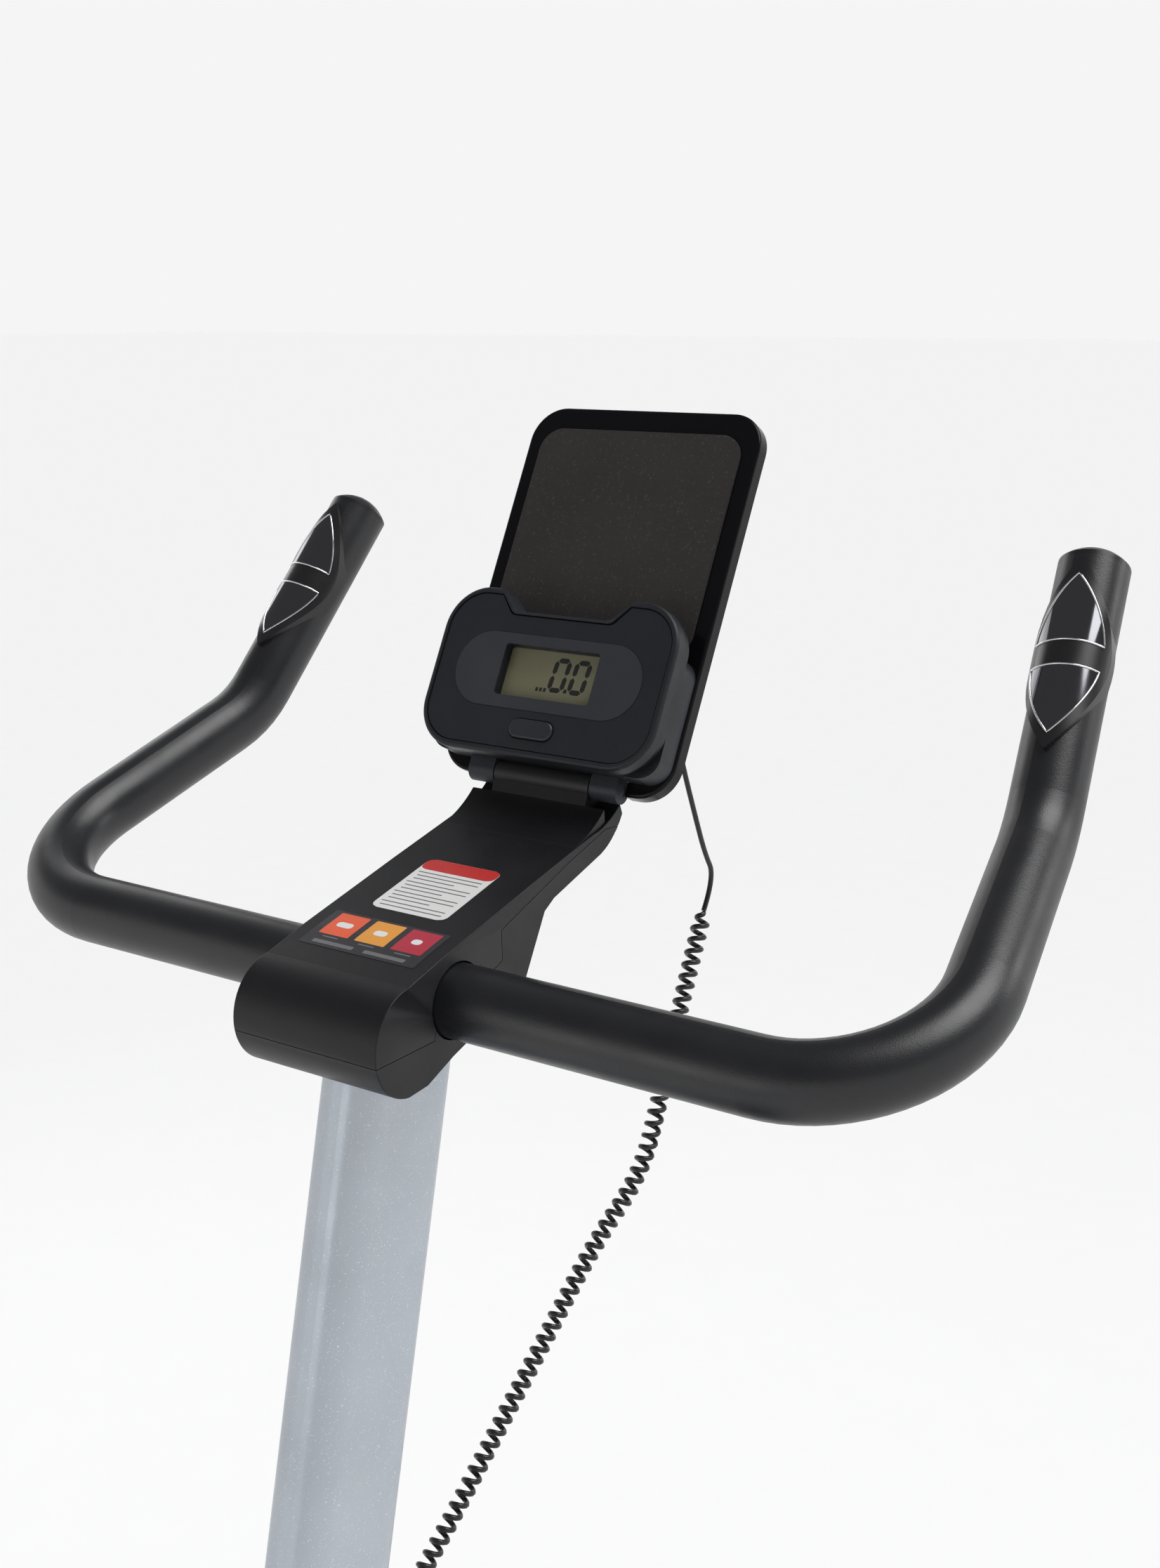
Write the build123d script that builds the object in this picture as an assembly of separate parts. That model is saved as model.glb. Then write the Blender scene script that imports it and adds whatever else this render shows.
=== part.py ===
from build123d import *
from math import atan2, cos, degrees, radians, sin, sqrt, tan, acos
import os

os.makedirs("parts", exist_ok=True)

# Driving sizes, millimetres. +Z up, +Y forward, +X the rider's right.
bar_y, bar_z, bar_r, bar_wall = 190.0, 1080.0, 19.0, 3.5
bar_corner_x = 298.3
bar_shoulder = (268.3, 185.9, 75.7)
bar_tip = (253.9, 282.0, 195.0)
bar_bends = (74.0, 70.0)
post_lean, post_depth, post_width, post_corner, post_wall = 12.77, 76.0, 38.0, 16.0, 2.5
post_top, post_bottom = -26.0, -600.0
sleeve_top_z, sleeve_wall, sleeve_gap = 725.0, 3.0, 3.0
cover_half, cover_wall, seam_gap = 45.6, 2.5, 0.4
hinge_y, hinge_z, knuckle_r, pin_r = 332.0, 1156.0, 7.0, 2.0
console_tilt = 27.46
plate_w, plate_low, plate_high, plate_t, plate_corner = 154.8, -4.0, 220.7, 9.0, 21.0
pad_w, pad_low, pad_high, pad_t, pad_corner = 134.8, 76.0, 206.8, 1.5, 14.0
case_w, case_low, case_high, case_front, case_corner = 154.8, 2.5, 97.5, 29.3, 26.0
slot_w, ledge_high, shell_t = 13.5, 75.0, 2.2
face_w, face_low, face_high, face_front, face_t = 146.8, 6.9, 93.2, 28.8, 2.5
notch_top, notch_low, notch_depth = 43.0, 31.0, 13.0
oval_w, oval_h, oval_s = 123.0, 43.0, 50.4
window_w, window_h, window_s = 63.0, 29.6, 50.9
button_w, button_h, button_s = 28.5, 11.0, 18.5
wire_d, coil_d = 3.0, 11.0
beam_w, beam_h, beam_z, beam_half = 80.0, 40.0, 68.0, 480.0
foot_r, foot_z, stab_r, stab_front, stab_rear = 30.0, 29.0, 25.0, 215.0, 235.0
crank_y, crank_z, crank_len, arm_in, arm_t = -110.0, 320.0, 155.0, 85.0, 12.0
fly_y, fly_r, fly_t, fly_rim = 230.0, 140.0, 30.0, 30.0
pulley_r, small_r, pulley_x, belt_w, belt_t, belt_gap = 100.0, 20.0, 52.0, 10.0, 2.0, 0.3
axle_r, run_gap = 8.5, 0.05
house_half, house_wall = 72.0, 3.0
seat_base_y, seat_lean, seat_tube_r, seat_post_r = -225.0, 11.0, 30.0, 25.0
seat_tube_top, seat_post_low, seat_post_top = 600.0, 430.0, 880.0
saddle_z, saddle_y = 905.0, -372.0
pedal_w, pedal_l, pedal_h, pedal_x = 94.0, 84.0, 22.0, 151.0

X = Axis.X
post_at = Plane(origin=(0, bar_y + 10, bar_z), x_dir=(1, 0, 0),
                z_dir=(0, sin(radians(post_lean)), cos(radians(post_lean))))
console_at = Plane(origin=(0, 333.9, 1157.3), x_dir=(1, 0, 0),
                   z_dir=(0, -cos(radians(console_tilt)), sin(radians(console_tilt))))
seat_at = Plane(origin=(0, seat_base_y, beam_z + beam_h / 2), x_dir=(1, 0, 0),
                z_dir=(0, -sin(radians(seat_lean)), cos(radians(seat_lean))))
side = Plane(origin=(0, 0, 0), x_dir=(0, 1, 0), z_dir=(1, 0, 0))


def save(name, *solids):
    shapes = []
    for s in solids:
        shapes += list(s.solids())
    for s in shapes:
        s.label = name
    out = shapes[0] if len(shapes) == 1 else Compound(children=shapes, label=name)
    export_step(out, f"parts/{name}.step")
    box = out.bounding_box()
    print(f"{name:22s} {len(shapes):3d} solids  {box.min.X:7.1f} {box.min.Y:7.1f} {box.min.Z:7.1f}"
          f"  {box.max.X:7.1f} {box.max.Y:7.1f} {box.max.Z:7.1f}")


def rod(a, b, r):
    a, b = Vector(*a), Vector(*b)
    return Solid.make_cylinder(r, (b - a).length, Plane(origin=a, z_dir=(b - a)))


def tube(a, b, r, inner, over=0.0):
    a, b = Vector(*a), Vector(*b)
    u = (b - a).normalized()
    return rod(a, b, r) - rod(a - u * (over + 1), b + u * (over + 1), inner)


def across(x0, x1, y, z, r):
    return rod((x0, y, z), (x1, y, z), r)


def block(x0, x1, y0, y1, z0, z1):
    return Solid.make_box(x1 - x0, y1 - y0, z1 - z0, Plane(origin=(x0, y0, z0)))


def panel(plane, w, low, high, corner, d0, d1):
    """A rounded plate standing in the plane's own x and y, from depth d0 to d1."""
    sk = Pos(0, (low + high) / 2) * RectangleRounded(w, high - low, corner)
    return plane.location * extrude(Pos(0, 0, d0) * sk, d1 - d0)


def mirrored(s):
    return [s, s.mirror(Plane.YZ)]


def profile(points, x0, x1):
    sk = make_face(Polyline(*[(y, z) for y, z in points], close=True))
    return side.location * extrude(Pos(0, 0, x0) * sk, x1 - x0)


def hull_of(circles, x0, x1):
    sk = make_hull([e for y, z, r in circles for e in (Pos(y, z) * Circle(r)).edges()])
    return side.location * extrude(Pos(0, 0, x0) * sk, x1 - x0)


def soften(s, edges, r):
    for k in (1.0, 0.6, 0.3):
        try:
            return s.fillet(r * k, edges(s))
        except Exception:
            continue
    print("   fillet left off", r)
    return s


def bent(points):
    """A route with every corner rounded as widely as its shorter run allows."""
    pts = [Vector(*p) for p in points]
    radii = []
    for a, b, c in zip(pts, pts[1:], pts[2:]):
        u, v = (b - a), (c - b)
        turn = acos(max(-1, min(1, u.normalized().dot(v.normalized()))))
        radii.append(0.45 * min(u.length, v.length) / tan(turn / 2))
    print("   route radii", [round(r, 1) for r in radii])
    edges, at = [], pts[0]
    for (a, b, c), r in zip(zip(pts, pts[1:], pts[2:]), radii):
        u, v = (b - a).normalized(), (c - b).normalized()
        half = acos(max(-1, min(1, u.dot(v)))) / 2
        cut = r * tan(half)
        s, e = b - u * cut, b + v * cut
        mid = b + (v - u).normalized() * (r / cos(half) - r)
        edges += [Edge.make_line(at, s), Edge.make_three_point_arc(s, mid, e)]
        at = e
    edges.append(Edge.make_line(at, pts[-1]))
    return Wire(edges)


def swept(route, r):
    start = Plane(origin=route @ 0, z_dir=route % 0)
    return sweep(start * Circle(r), path=route)


# Handlebar: one bent covered tube, mirrored about the middle.
def handlebar():
    half = [(0, 0, 0), (bar_corner_x, 0, 0), bar_shoulder, bar_tip]
    pts = [Vector(x, y + bar_y, z + bar_z) for x, y, z in half]
    edges, at = [], pts[0]
    for (a, b, c), r in zip(zip(pts, pts[1:], pts[2:]), bar_bends):
        u, v = (b - a).normalized(), (c - b).normalized()
        turn = acos(u.dot(v)) / 2
        cut = r * tan(turn)
        mid = b + (v - u).normalized() * (r / cos(turn) - r)
        edges += [Edge.make_line(at, b - u * cut), Edge.make_three_point_arc(b - u * cut, mid, b + v * cut)]
        at = b + v * cut
    edges.append(Edge.make_line(at, pts[-1]))
    route = Wire(edges)
    ring = Plane(origin=pts[0], z_dir=(1, 0, 0)) * (Circle(bar_r) - Circle(bar_r - bar_wall))
    right = sweep(ring, path=route)
    save("handlebar_tube", right + right.mirror(Plane.YZ))

    tip, along = pts[-1], (pts[-1] - pts[-2]).normalized()
    rise = 8.5
    dome_r = (bar_r ** 2 + rise ** 2) / (2 * rise)
    centre = tip + along * (2.5 + rise - dome_r)
    dome = Solid.make_sphere(dome_r, Plane(origin=centre, z_dir=along), angle1=-90, angle2=90, angle3=360)
    dome = dome & rod(tuple(tip + along * 0.02), tuple(tip + along * 30), bar_r)
    cap = dome + rod(tuple(tip - along * 24), tuple(tip + along * 2), bar_r - bar_wall - 0.1)
    save("bar_end_caps", *mirrored(max(cap.solids(), key=lambda s: s.volume)))

    # Pulse grips: a low surround and two plates in it, on the face turned to the rider.
    shoulder = pts[-2]
    mid = shoulder + along * 93.5
    normal = Vector(0, -0.786, 0.618)
    out = (normal - along * normal.dot(along)).normalized()
    grip = Plane(origin=mid, x_dir=along.cross(out), z_dir=out)

    def almond(half_l, half_w, gap=0.0):
        arcs = [ThreePointArc((0, -half_l), (half_w, 0), (0, half_l)),
                ThreePointArc((0, half_l), (-half_w, 0), (0, -half_l))]
        sk = make_face(Curve() + arcs)
        if gap:
            sk = sk - Rectangle(80, gap)
        return grip.location * extrude(sk, 60)

    def ring_of(outer, inner):
        return tube(mid - along * 70, mid + along * 70, outer, inner)

    surround = ring_of(bar_r + 2.8, bar_r + 0.02).intersect(almond(55.5, 20.6))
    surround = surround.solids()[0] if hasattr(surround, "solids") else surround[0]
    recess = ring_of(bar_r + 4, bar_r + 1.2).intersect(almond(46.9, 18.2, 13.4))
    plates = ring_of(bar_r + 2.9, bar_r + 1.3).intersect(almond(46.5, 17.9, 14.4))
    recess = recess.solids() if hasattr(recess, "solids") else recess
    plates = plates.solids() if hasattr(plates, "solids") else plates
    for cut in recess:
        surround = surround - cut
    save("pulse_housings", *mirrored(surround.solids()[0]))
    save("pulse_plates", *[m for p in plates for m in mirrored(p)])


def post_section(grow, s0, s1, wall=0.0):
    sk = RectangleRounded(post_width + 2 * grow, post_depth + 2 * grow, post_corner + grow)
    if wall:
        sk = sk - RectangleRounded(post_width + 2 * grow - 2 * wall, post_depth + 2 * grow - 2 * wall,
                                   post_corner + grow - wall)
    return post_at.location * extrude(Pos(0, 0, s0) * sk, s1 - s0)


def on_post(z):
    return (z - bar_z) / cos(radians(post_lean))


def post_and_clamp():
    bar = across(-60, 60, bar_y, bar_z, bar_r + 0.02)
    save("handlebar_post", post_section(0, post_bottom, post_top, post_wall))
    plug = post_section(-post_wall - 0.02, -70, -4)
    low_ring = across(-26, 26, bar_y, bar_z, 21.6) + block(-26, 26, bar_y - 35, bar_y + 35, bar_z - 7, bar_z)
    low_ring = low_ring - block(-30, 30, bar_y - 50, bar_y + 50, bar_z - 0.3, bar_z + 40)
    holes = [rod((x, bar_y + y, bar_z - 20), (x, bar_y + y, bar_z + 20), 3.0) for x in (-15, 15) for y in (-29.5, 29.5)]
    base = low_ring + (plug - block(-30, 30, bar_y - 60, bar_y + 60, bar_z - 0.3, bar_z + 60))
    cap = across(-26, 26, bar_y, bar_z, 24) + block(-26, 26, bar_y - 35, bar_y + 35, bar_z, bar_z + 7)
    cap = cap - block(-30, 30, bar_y - 50, bar_y + 50, bar_z - 40, bar_z + 0.3)
    cut = post_section(2, post_bottom, post_top) - post_section(-post_wall, post_bottom - 1, post_top + 1)
    base = base - bar - cut
    cap = cap - bar
    bolts = []
    for h, (x, y) in zip(holes, [(x, y) for x in (-15, 15) for y in (-29.5, 29.5)]):
        base, cap = base - h, cap - h
        at = (x, bar_y + y, bar_z + 7)
        bolts.append(rod((x, bar_y + y, bar_z - 7.5), at, 2.98) + rod(at, (x, bar_y + y, bar_z + 11.5), 4.6)
                     - rod((x, bar_y + y, bar_z + 9), (x, bar_y + y, bar_z + 12), 2.4))
    save("clamp_base", base)
    save("clamp_cap", cap)
    save("clamp_bolts", *bolts)


# Cover over the clamp, rising forward into the neck that carries the console.
cover_top_line = [(-36.9, 18), (-8.9, 25.8), (62.4, 43), (121, 56.6)]
cover_under = [(124.2, 42.6), (83.6, 30.6), (75, 25.6), (59, -3.7), (55, -11), (8.2, -24.5), (-3.8, -28.3),
               (-24.2, -36.6), (-38.7, -37.7)]


def cover_face():
    edges = [Polyline(*cover_top_line), ThreePointArc(cover_top_line[-1], (136, 61.2), (146.5, 68)),
             Line((146.5, 68), (149, 62)), ThreePointArc((149, 62), (139, 50), cover_under[0]),
             Polyline(*cover_under), ThreePointArc(cover_under[-1], (-62.9, -9.5), cover_top_line[0])]
    return make_face(Curve() + edges)


def cover():
    place = Pos(bar_y, bar_z)
    outer = side.location * extrude(Pos(0, 0, -cover_half) * (place * cover_face()), 2 * cover_half)
    sk = offset(cover_face(), amount=-cover_wall, kind=Kind.ARC)
    inner = side.location * extrude(Pos(0, 0, -cover_half + cover_wall) * (place * sk), 2 * (cover_half - cover_wall))
    outer = soften(outer, lambda s: [e for e in s.edges() if abs(abs(e.center().X) - cover_half) < 0.01
                                     and abs((e % 0.5).X) < 0.1], 2.0)
    shell = outer - inner - across(-60, 60, bar_y, bar_z, bar_r + 0.9) - post_section(0.6, -120, 10)
    knuckle = across(-31.6, 31.6, hinge_y, hinge_z, knuckle_r)
    neck = profile([(hinge_y - 6.5, hinge_z - 2), (hinge_y + 6.5, hinge_z - 2), (bar_y + 148, bar_z + 63),
                    (bar_y + 128, bar_z + 56.5)], -31.6, 31.6)
    clear = [across(a, b, hinge_y, hinge_z, knuckle_r + 1.6) for a, b in ((31.6, 60), (-60, -31.6))]
    for c in clear:
        shell = shell - c
    shell = shell + (knuckle + neck)
    shell = shell - across(-60, 60, hinge_y, hinge_z, pin_r + 0.05)
    seam = [(-80, -15), (-19, -15), (-12, 4), (32.4, 7.9), (37, 10.1), (36.6, 26), (40.8, 27.7), (96, 46.6),
            (132, 57.0), (141, 56.4), (170, 55), (170, -80), (-80, -80)]
    low = profile([(y + bar_y, z + bar_z) for y, z in seam], -60, 60)
    sk = offset(make_face(Polyline(*seam, close=True)), amount=-seam_gap, kind=Kind.INTERSECTION)
    low_small = side.location * extrude(Pos(0, 0, -60) * (Pos(bar_y, bar_z) * sk), 120)
    save("cover_top", max((shell - low).solids(), key=lambda s: s.volume))
    save("cover_bottom", max((shell & low_small).solids(), key=lambda s: s.volume))


def console():
    at = console_at
    yz = Plane(origin=(0, 0, 0), x_dir=(1, 0, 0), z_dir=(0, 0, 1))
    lug_s, lug_d = -2.03, 1.09

    def put(x, s, d):
        return at.from_local_coords(Vector(x, s, d))

    def lying(x0, x1, s, d, r):
        return rod(tuple(put(x0, s, d)), tuple(put(x1, s, d)), r)

    def slab(x0, x1, s0, s1, d0, d1):
        return at.location * block(x0, x1, s0, s1, d0, d1)

    def notch(grow, d0, d1):
        pts = [(-notch_top - 6 - grow, case_high + 1), (-notch_top - grow, case_high - 1.5),
               (-notch_low - grow, case_high - notch_depth - grow), (notch_low + grow, case_high - notch_depth - grow),
               (notch_top + grow, case_high - 1.5), (notch_top + 6 + grow, case_high + 1)]
        sk = make_face(Polyline(*pts, close=True))
        sk = fillet(sk.vertices().filter_by(lambda v: abs(v.Y - case_high + notch_depth + grow) < 0.1), 6)
        return at.location * extrude(Pos(0, 0, d0) * sk, d1 - d0)

    plate = panel(at, plate_w, plate_low, plate_high, plate_corner, -plate_t, 0)
    plate = soften(plate, lambda s: s.edges().filter_by(lambda e: abs(at.to_local_coords(e.center()).Z) < 0.01), 1.8)
    plate = plate - slab(-51, 51, -10, 8.5, -20, 10)
    holes = [(x, s) for x in (-48, 48) for s in (24, 96)]
    for x, s in holes:
        plate = plate - rod(tuple(put(x, s, -12)), tuple(put(x, s, 4)), 2.0)
    save("holder_plate", plate)
    save("holder_pad", panel(at, pad_w, pad_low, pad_high, pad_corner, 0, pad_t))

    body = panel(at, case_w - 3, case_low + 1.5, case_high - 1.5, case_corner - 1.5, slot_w, case_front - 8)
    ledge = panel(at, case_w - 3, case_low + 1.5, ledge_high, 12, 0.1, slot_w + 1)
    rim = panel(at, case_w, case_low, case_high, case_corner, case_front - 8.5, case_front)
    rim = soften(rim, lambda s: s.edges().filter_by(lambda e: at.to_local_coords(e.center()).Z > case_front - 0.01), 2.2)
    case = rim + body + ledge
    case = case - notch(0, -5, 40)
    hollow = panel(at, face_w + 1.2 - 2 * shell_t, face_low + shell_t - 0.6, face_high - shell_t + 0.6, 20,
                   slot_w + shell_t, 40) - notch(shell_t + 2.0, 0, 40)
    hollow_low = panel(at, case_w - 14, case_low + 6, ledge_high - 4, 8, 2.6, slot_w + shell_t + 1)
    pocket = panel(at, face_w + 1.2, face_low - 0.6, face_high + 0.6, 22, face_front - face_t, 40)
    pocket = pocket - notch(0.6 + 1.0, 0, 40)
    case = case - hollow - hollow_low - pocket
    for x in (-41.0, 41.0):
        lug = lying(x - 8.6, x + 8.6, lug_s, lug_d, knuckle_r) + slab(x - 8.6, x + 8.6, -2, 6.5, 0.1, 8)
        case = case + lug - lying(x - 20, x + 20, lug_s, lug_d, pin_r + 0.05)
    case = case - lying(-32.2, 32.2, lug_s, lug_d, knuckle_r + 1.0)
    for x, s in holes:
        if s < 60:
            case = case + rod(tuple(put(x, s, 0.1)), tuple(put(x, s, 9)), 4.5)
            case = case - rod(tuple(put(x, s, -1)), tuple(put(x, s, 8)), 1.6)
    save("console_housing", max(case.solids(), key=lambda s: s.volume))

    front = panel(at, face_w, face_low, face_high, 21.4, face_front - face_t, face_front)
    front = front - notch(2.4, 0, 40)
    seat = at.location * extrude(Pos(0, oval_s, face_front - 0.6) * SlotOverall(oval_w + 0.4, oval_h + 0.4), 5)
    hole = panel(at, window_w, window_s - window_h / 2, window_s + window_h / 2, 2, 0, 40)
    press = at.location * extrude(Pos(0, button_s, 10) * RectangleRounded(button_w + 1.0, button_h + 1.0, 5.9), 40)
    funnel = panel(at, window_w + 3, window_s - window_h / 2 - 1.5, window_s + window_h / 2 + 1.5, 2.5,
                   22.0, face_front - face_t + 0.1)
    save("face_plate", (front + funnel) - seat - hole - press)
    oval = at.location * extrude(Pos(0, oval_s, face_front - 0.6) * SlotOverall(oval_w, oval_h), 0.8)
    save("oval_panel", oval - hole)
    module = panel(at, 74, window_s - 20, window_s + 19, 2, 17.4, 21.6)
    glass = panel(at, window_w - 0.2, window_s - window_h / 2 + 0.1, window_s + window_h / 2 - 0.1, 1.8, 21.7, 22.9)
    save("lcd_module", module)
    save("lcd_lens", glass)
    board = panel(at, 124, 11, 70, 2, 15.75, 17.3)
    switch = slab(-3, 3, button_s - 3, button_s + 3, 17.3, 19.4) + lying(-0.1, 0.1, button_s, 18, 0.2)
    chips = [slab(x, x + w, s, s + h, 17.3, 18.9) for x, w, s, h in ((-56, 14, 40, 14), (44, 12, 22, 8), (40, 16, 48, 10))]
    board = board + slab(-3, 3, button_s - 3, button_s + 3, 17.2, 19.4)
    for c in chips:
        board = board + c
    save("circuit_board", board)
    button = at.location * extrude(Pos(0, button_s, 20.7) * RectangleRounded(button_w, button_h, 5.4), 9.6)
    button = soften(button, lambda s: s.edges().filter_by(lambda e: at.to_local_coords(e.center()).Z > 30.2), 1.2)
    foot = at.location * extrude(Pos(0, button_s, 20.7) * RectangleRounded(button_w + 4, button_h + 3, 3), 1.6)
    save("console_button", button + foot)

    rear = panel(at, 118, 14, 112, 12, -28, -plate_t - 0.02)
    rear = soften(rear, lambda s: s.edges().filter_by(lambda e: at.to_local_coords(e.center()).Z < -27.9), 4)
    rear = rear - panel(at, 112, 17, 109, 9, -25.5, -plate_t + 1)
    posts = [rod(tuple(put(x, s, -26)), tuple(put(x, s, -plate_t - 0.02)), 4.5) for x, s in holes]
    for p in posts:
        rear = rear + p
    for x, s in holes:
        rear = rear - rod(tuple(put(x, s, -40)), tuple(put(x, s, 0)), 2.0) - rod(tuple(put(x, s, -40)), tuple(put(x, s, -23.95)), 3.9)
    outlet = Vector(*lead_route[0])
    run = (Vector(*lead_route[1]) - outlet).normalized()
    rear = rear - rod(tuple(outlet - run * 2), tuple(outlet + run * 30), wire_d / 2 + 0.5)
    save("console_rear", rear)
    screws = []
    for x, s in holes:
        tip_d = 7.5 if s < 60 else -0.3
        screws.append(rod(tuple(put(x, s, -24)), tuple(put(x, s, tip_d)), 1.55) + (
            rod(tuple(put(x, s, -26.6)), tuple(put(x, s, -23.98)), 3.6) - rod(tuple(put(x, s, -27)), tuple(put(x, s, -25.4)), 1.3)))
    save("console_screws", *screws)
    pin = lying(-49.6, 49.6, lug_s, lug_d, pin_r)
    save("hinge_pin", pin)


# Sensor cord: a plain lead out of the console's back, then a curly length down to the sleeve.
plug_foot = (0.0, 155.1, 683.0)
plug_dir = Vector(0.12, 0.60, 0.79).normalized()
lead_route = [(55, 371, 1200), (58, 381, 1163), (60, 392, 1132), (60, 404, 1106), (60, 416, 1089), (60, 404, 1071)]
coil_route = [(60, 403.6, 1070), (60, 379, 1020), (60, 357, 969), (54, 348, 926), (43, 315, 892),
              (33, 284, 848), (24, 246, 802), (14, 214, 757)]


def cord():
    end = Vector(*plug_foot) + plug_dir * 50
    save("console_lead", swept(bent(lead_route), wire_d / 2))
    save("console_coil", swept(bent(coil_route + [tuple(end)]), coil_d / 2))
    foot = Vector(*plug_foot)
    boss = rod(tuple(foot - plug_dir * 6), tuple(foot + plug_dir * 12), 9) - post_section(sleeve_gap + sleeve_wall + 0.05, -700, 0)
    plug = rod(tuple(foot + plug_dir * 11), tuple(foot + plug_dir * 34), 6)
    neck = Solid.make_cone(5, 2.4, 13, Plane(origin=foot + plug_dir * 34, z_dir=plug_dir))
    save("cord_socket", max((boss + plug + neck).solids(), key=lambda s: s.volume))


# Frame: beam, stabilisers, leaning sleeve for the post, seat tube, bracket and fork.
def frame_parts():
    stabs, feet, axles = [], [], []
    for y, half in ((beam_half, stab_front), (-beam_half, stab_rear)):
        stabs.append(tube((-half, y, foot_z), (half, y, foot_z), stab_r, stab_r - 2.5))
        for sx in (-1, 1):
            a, b = sorted((sx * (half - 18), sx * (half + 17)))
            foot = across(a, b, y, foot_z, foot_r)
            foot = soften(foot, lambda s: s.edges().filter_by(GeomType.CIRCLE), 5)
            inner = across(min(sx * (half - 20), sx * half), max(sx * (half - 20), sx * half), y, foot_z, stab_r + 0.02)
            foot = foot - inner - block(-300, 300, y - 50, y + 50, -20, 0)
            if y > 0:
                pin = across(min(sx * (half + 16), sx * (half + 36)), max(sx * (half + 16), sx * (half + 36)), y, foot_z, 5)
                head = across(min(sx * (half + 35.2), sx * (half + 37)), max(sx * (half + 35.2), sx * (half + 37)), y, foot_z, 9)
                foot = foot + pin + head
                wheel = across(min(sx * (half + 17.5), sx * (half + 34.7)), max(sx * (half + 17.5), sx * (half + 34.7)), y,
                               foot_z, 26)
                wheel = soften(wheel, lambda s: s.edges().filter_by(GeomType.CIRCLE), 2.5)
                wheel = wheel - across(-300, 300, y, foot_z, 5 + run_gap)
                save("wheel_right" if sx > 0 else "wheel_left", wheel)
            feet.append(foot)
    save("stabilisers", *stabs)
    save("stabiliser_feet", *feet)

    beam = Pos(0, 0, beam_z) * Rot(-90, 0, 0) * extrude(RectangleRounded(beam_w, beam_h, 8)
                                                        - RectangleRounded(beam_w - 5, beam_h - 5, 5.5),
                                                        beam_half, both=True)
    saddles = []
    for y in (beam_half, -beam_half):
        beam = beam - across(-100, 100, y, foot_z, stab_r + 3)
        s = across(-34, 34, y, foot_z, stab_r + 3) - across(-80, 80, y, foot_z, stab_r + 0.02) - block(-60, 60, y - 50, y + 50, 0, foot_z)
        beam = beam - block(-60, 60, y, y + 60, 0, 100) if y > 0 else beam - block(-60, 60, y - 60, y, 0, 100)
        saddles.append(s)
    ends = []
    for y, s in ((beam_half - 1.0, 1), (-beam_half + 1.0, -1)):
        e = extrude(Pos(0, 0, 0) * RectangleRounded(beam_w - 5.1, beam_h - 5.1, 5.4), 4)
        ends.append(Pos(0, y - 4 if s > 0 else y, beam_z) * Rot(-90, 0, 0) * e)
    whole = beam + saddles[0] + saddles[1] + ends[0] + ends[1]
    base = max(whole.solids(), key=lambda s: s.volume)
    base = base - across(-100, 100, beam_half, foot_z, stab_r + 0.02) - across(-100, 100, -beam_half, foot_z, stab_r + 0.02)
    bolts = []
    for y in (beam_half - 12, -beam_half + 12):
        for x in (-20, 20):
            base = base - rod((x, y, 40), (x, y, 100), 4.05)
            bolts.append(rod((x, y, beam_z + beam_h / 2), (x, y, beam_z + beam_h / 2 + 5), 7)
                         + rod((x, y, 56), (x, y, beam_z + beam_h / 2 + 1), 3.9))
    save("base_beam", base)
    save("frame_bolts", *bolts)

    top, low = on_post(sleeve_top_z), on_post(beam_z + beam_h / 2 - 2)
    grow = sleeve_gap + sleeve_wall
    sleeve = post_section(grow, low - 12, top, sleeve_wall)
    sleeve = sleeve - block(-100, 100, -300, 300, 0, beam_z + beam_h / 2)
    for z in (620, 540):
        p = post_at.from_local_coords(Vector(0, -30, on_post(z)))
        q = post_at.from_local_coords(Vector(0, -60, on_post(z)))
        sleeve = sleeve - rod(tuple(p), tuple(q), 5.4)
    save("post_sleeve", sleeve)
    bush = post_section(sleeve_gap - 0.02, top - 80, top) + post_section(grow + 1.5, top + 0.02, top + 7)
    bush = bush + post_section(sleeve_gap - 0.02, top - 1, top + 3)
    bush = soften(bush, lambda s: s.edges().filter_by(lambda e: post_at.to_local_coords(e.center()).Z > top + 6.9), 2.0)
    save("sleeve_bush", bush - post_section(0.3, top - 90, top + 20))

    def on_seat(z):
        return (z - seat_at.origin.Z) / cos(radians(seat_lean))

    def seat_pt(s):
        return tuple(seat_at.from_local_coords(Vector(0, 0, s)))
    top = on_seat(seat_tube_top)
    st = tube(seat_pt(-12), seat_pt(top), seat_tube_r, seat_tube_r - 3) - block(-100, 100, -400, 0, 0, beam_z + beam_h / 2)
    knob_s = on_seat(488)
    p = seat_at.from_local_coords(Vector(0, 20, knob_s))
    q = seat_at.from_local_coords(Vector(0, 50, knob_s))
    st = st - rod(tuple(p), tuple(q), 5.4)
    save("seat_tube", st)
    bush = tube(seat_pt(top - 80), seat_pt(top + 0.5), seat_tube_r - 3.02, seat_post_r + 0.3) \
        + tube(seat_pt(top + 0.02), seat_pt(top + 8), seat_tube_r + 1.5, seat_post_r + 0.3)
    save("seat_bush", bush)

    shell = across(-40, 40, crank_y, crank_z, 27)
    strut = block(-18, 18, -262, 30, crank_z - 20, crank_z + 20)
    strut = soften(strut, lambda s: s.edges().filter_by(Axis.Y), 5)
    bracket = shell + strut - rod(seat_pt(-20), seat_pt(top), seat_tube_r + 0.02) \
        - post_section(grow + 0.02, -1000, -300) - across(-50, 50, crank_y, crank_z, 20)
    save("bottom_bracket", max(bracket.solids(), key=lambda s: s.volume))

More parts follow.
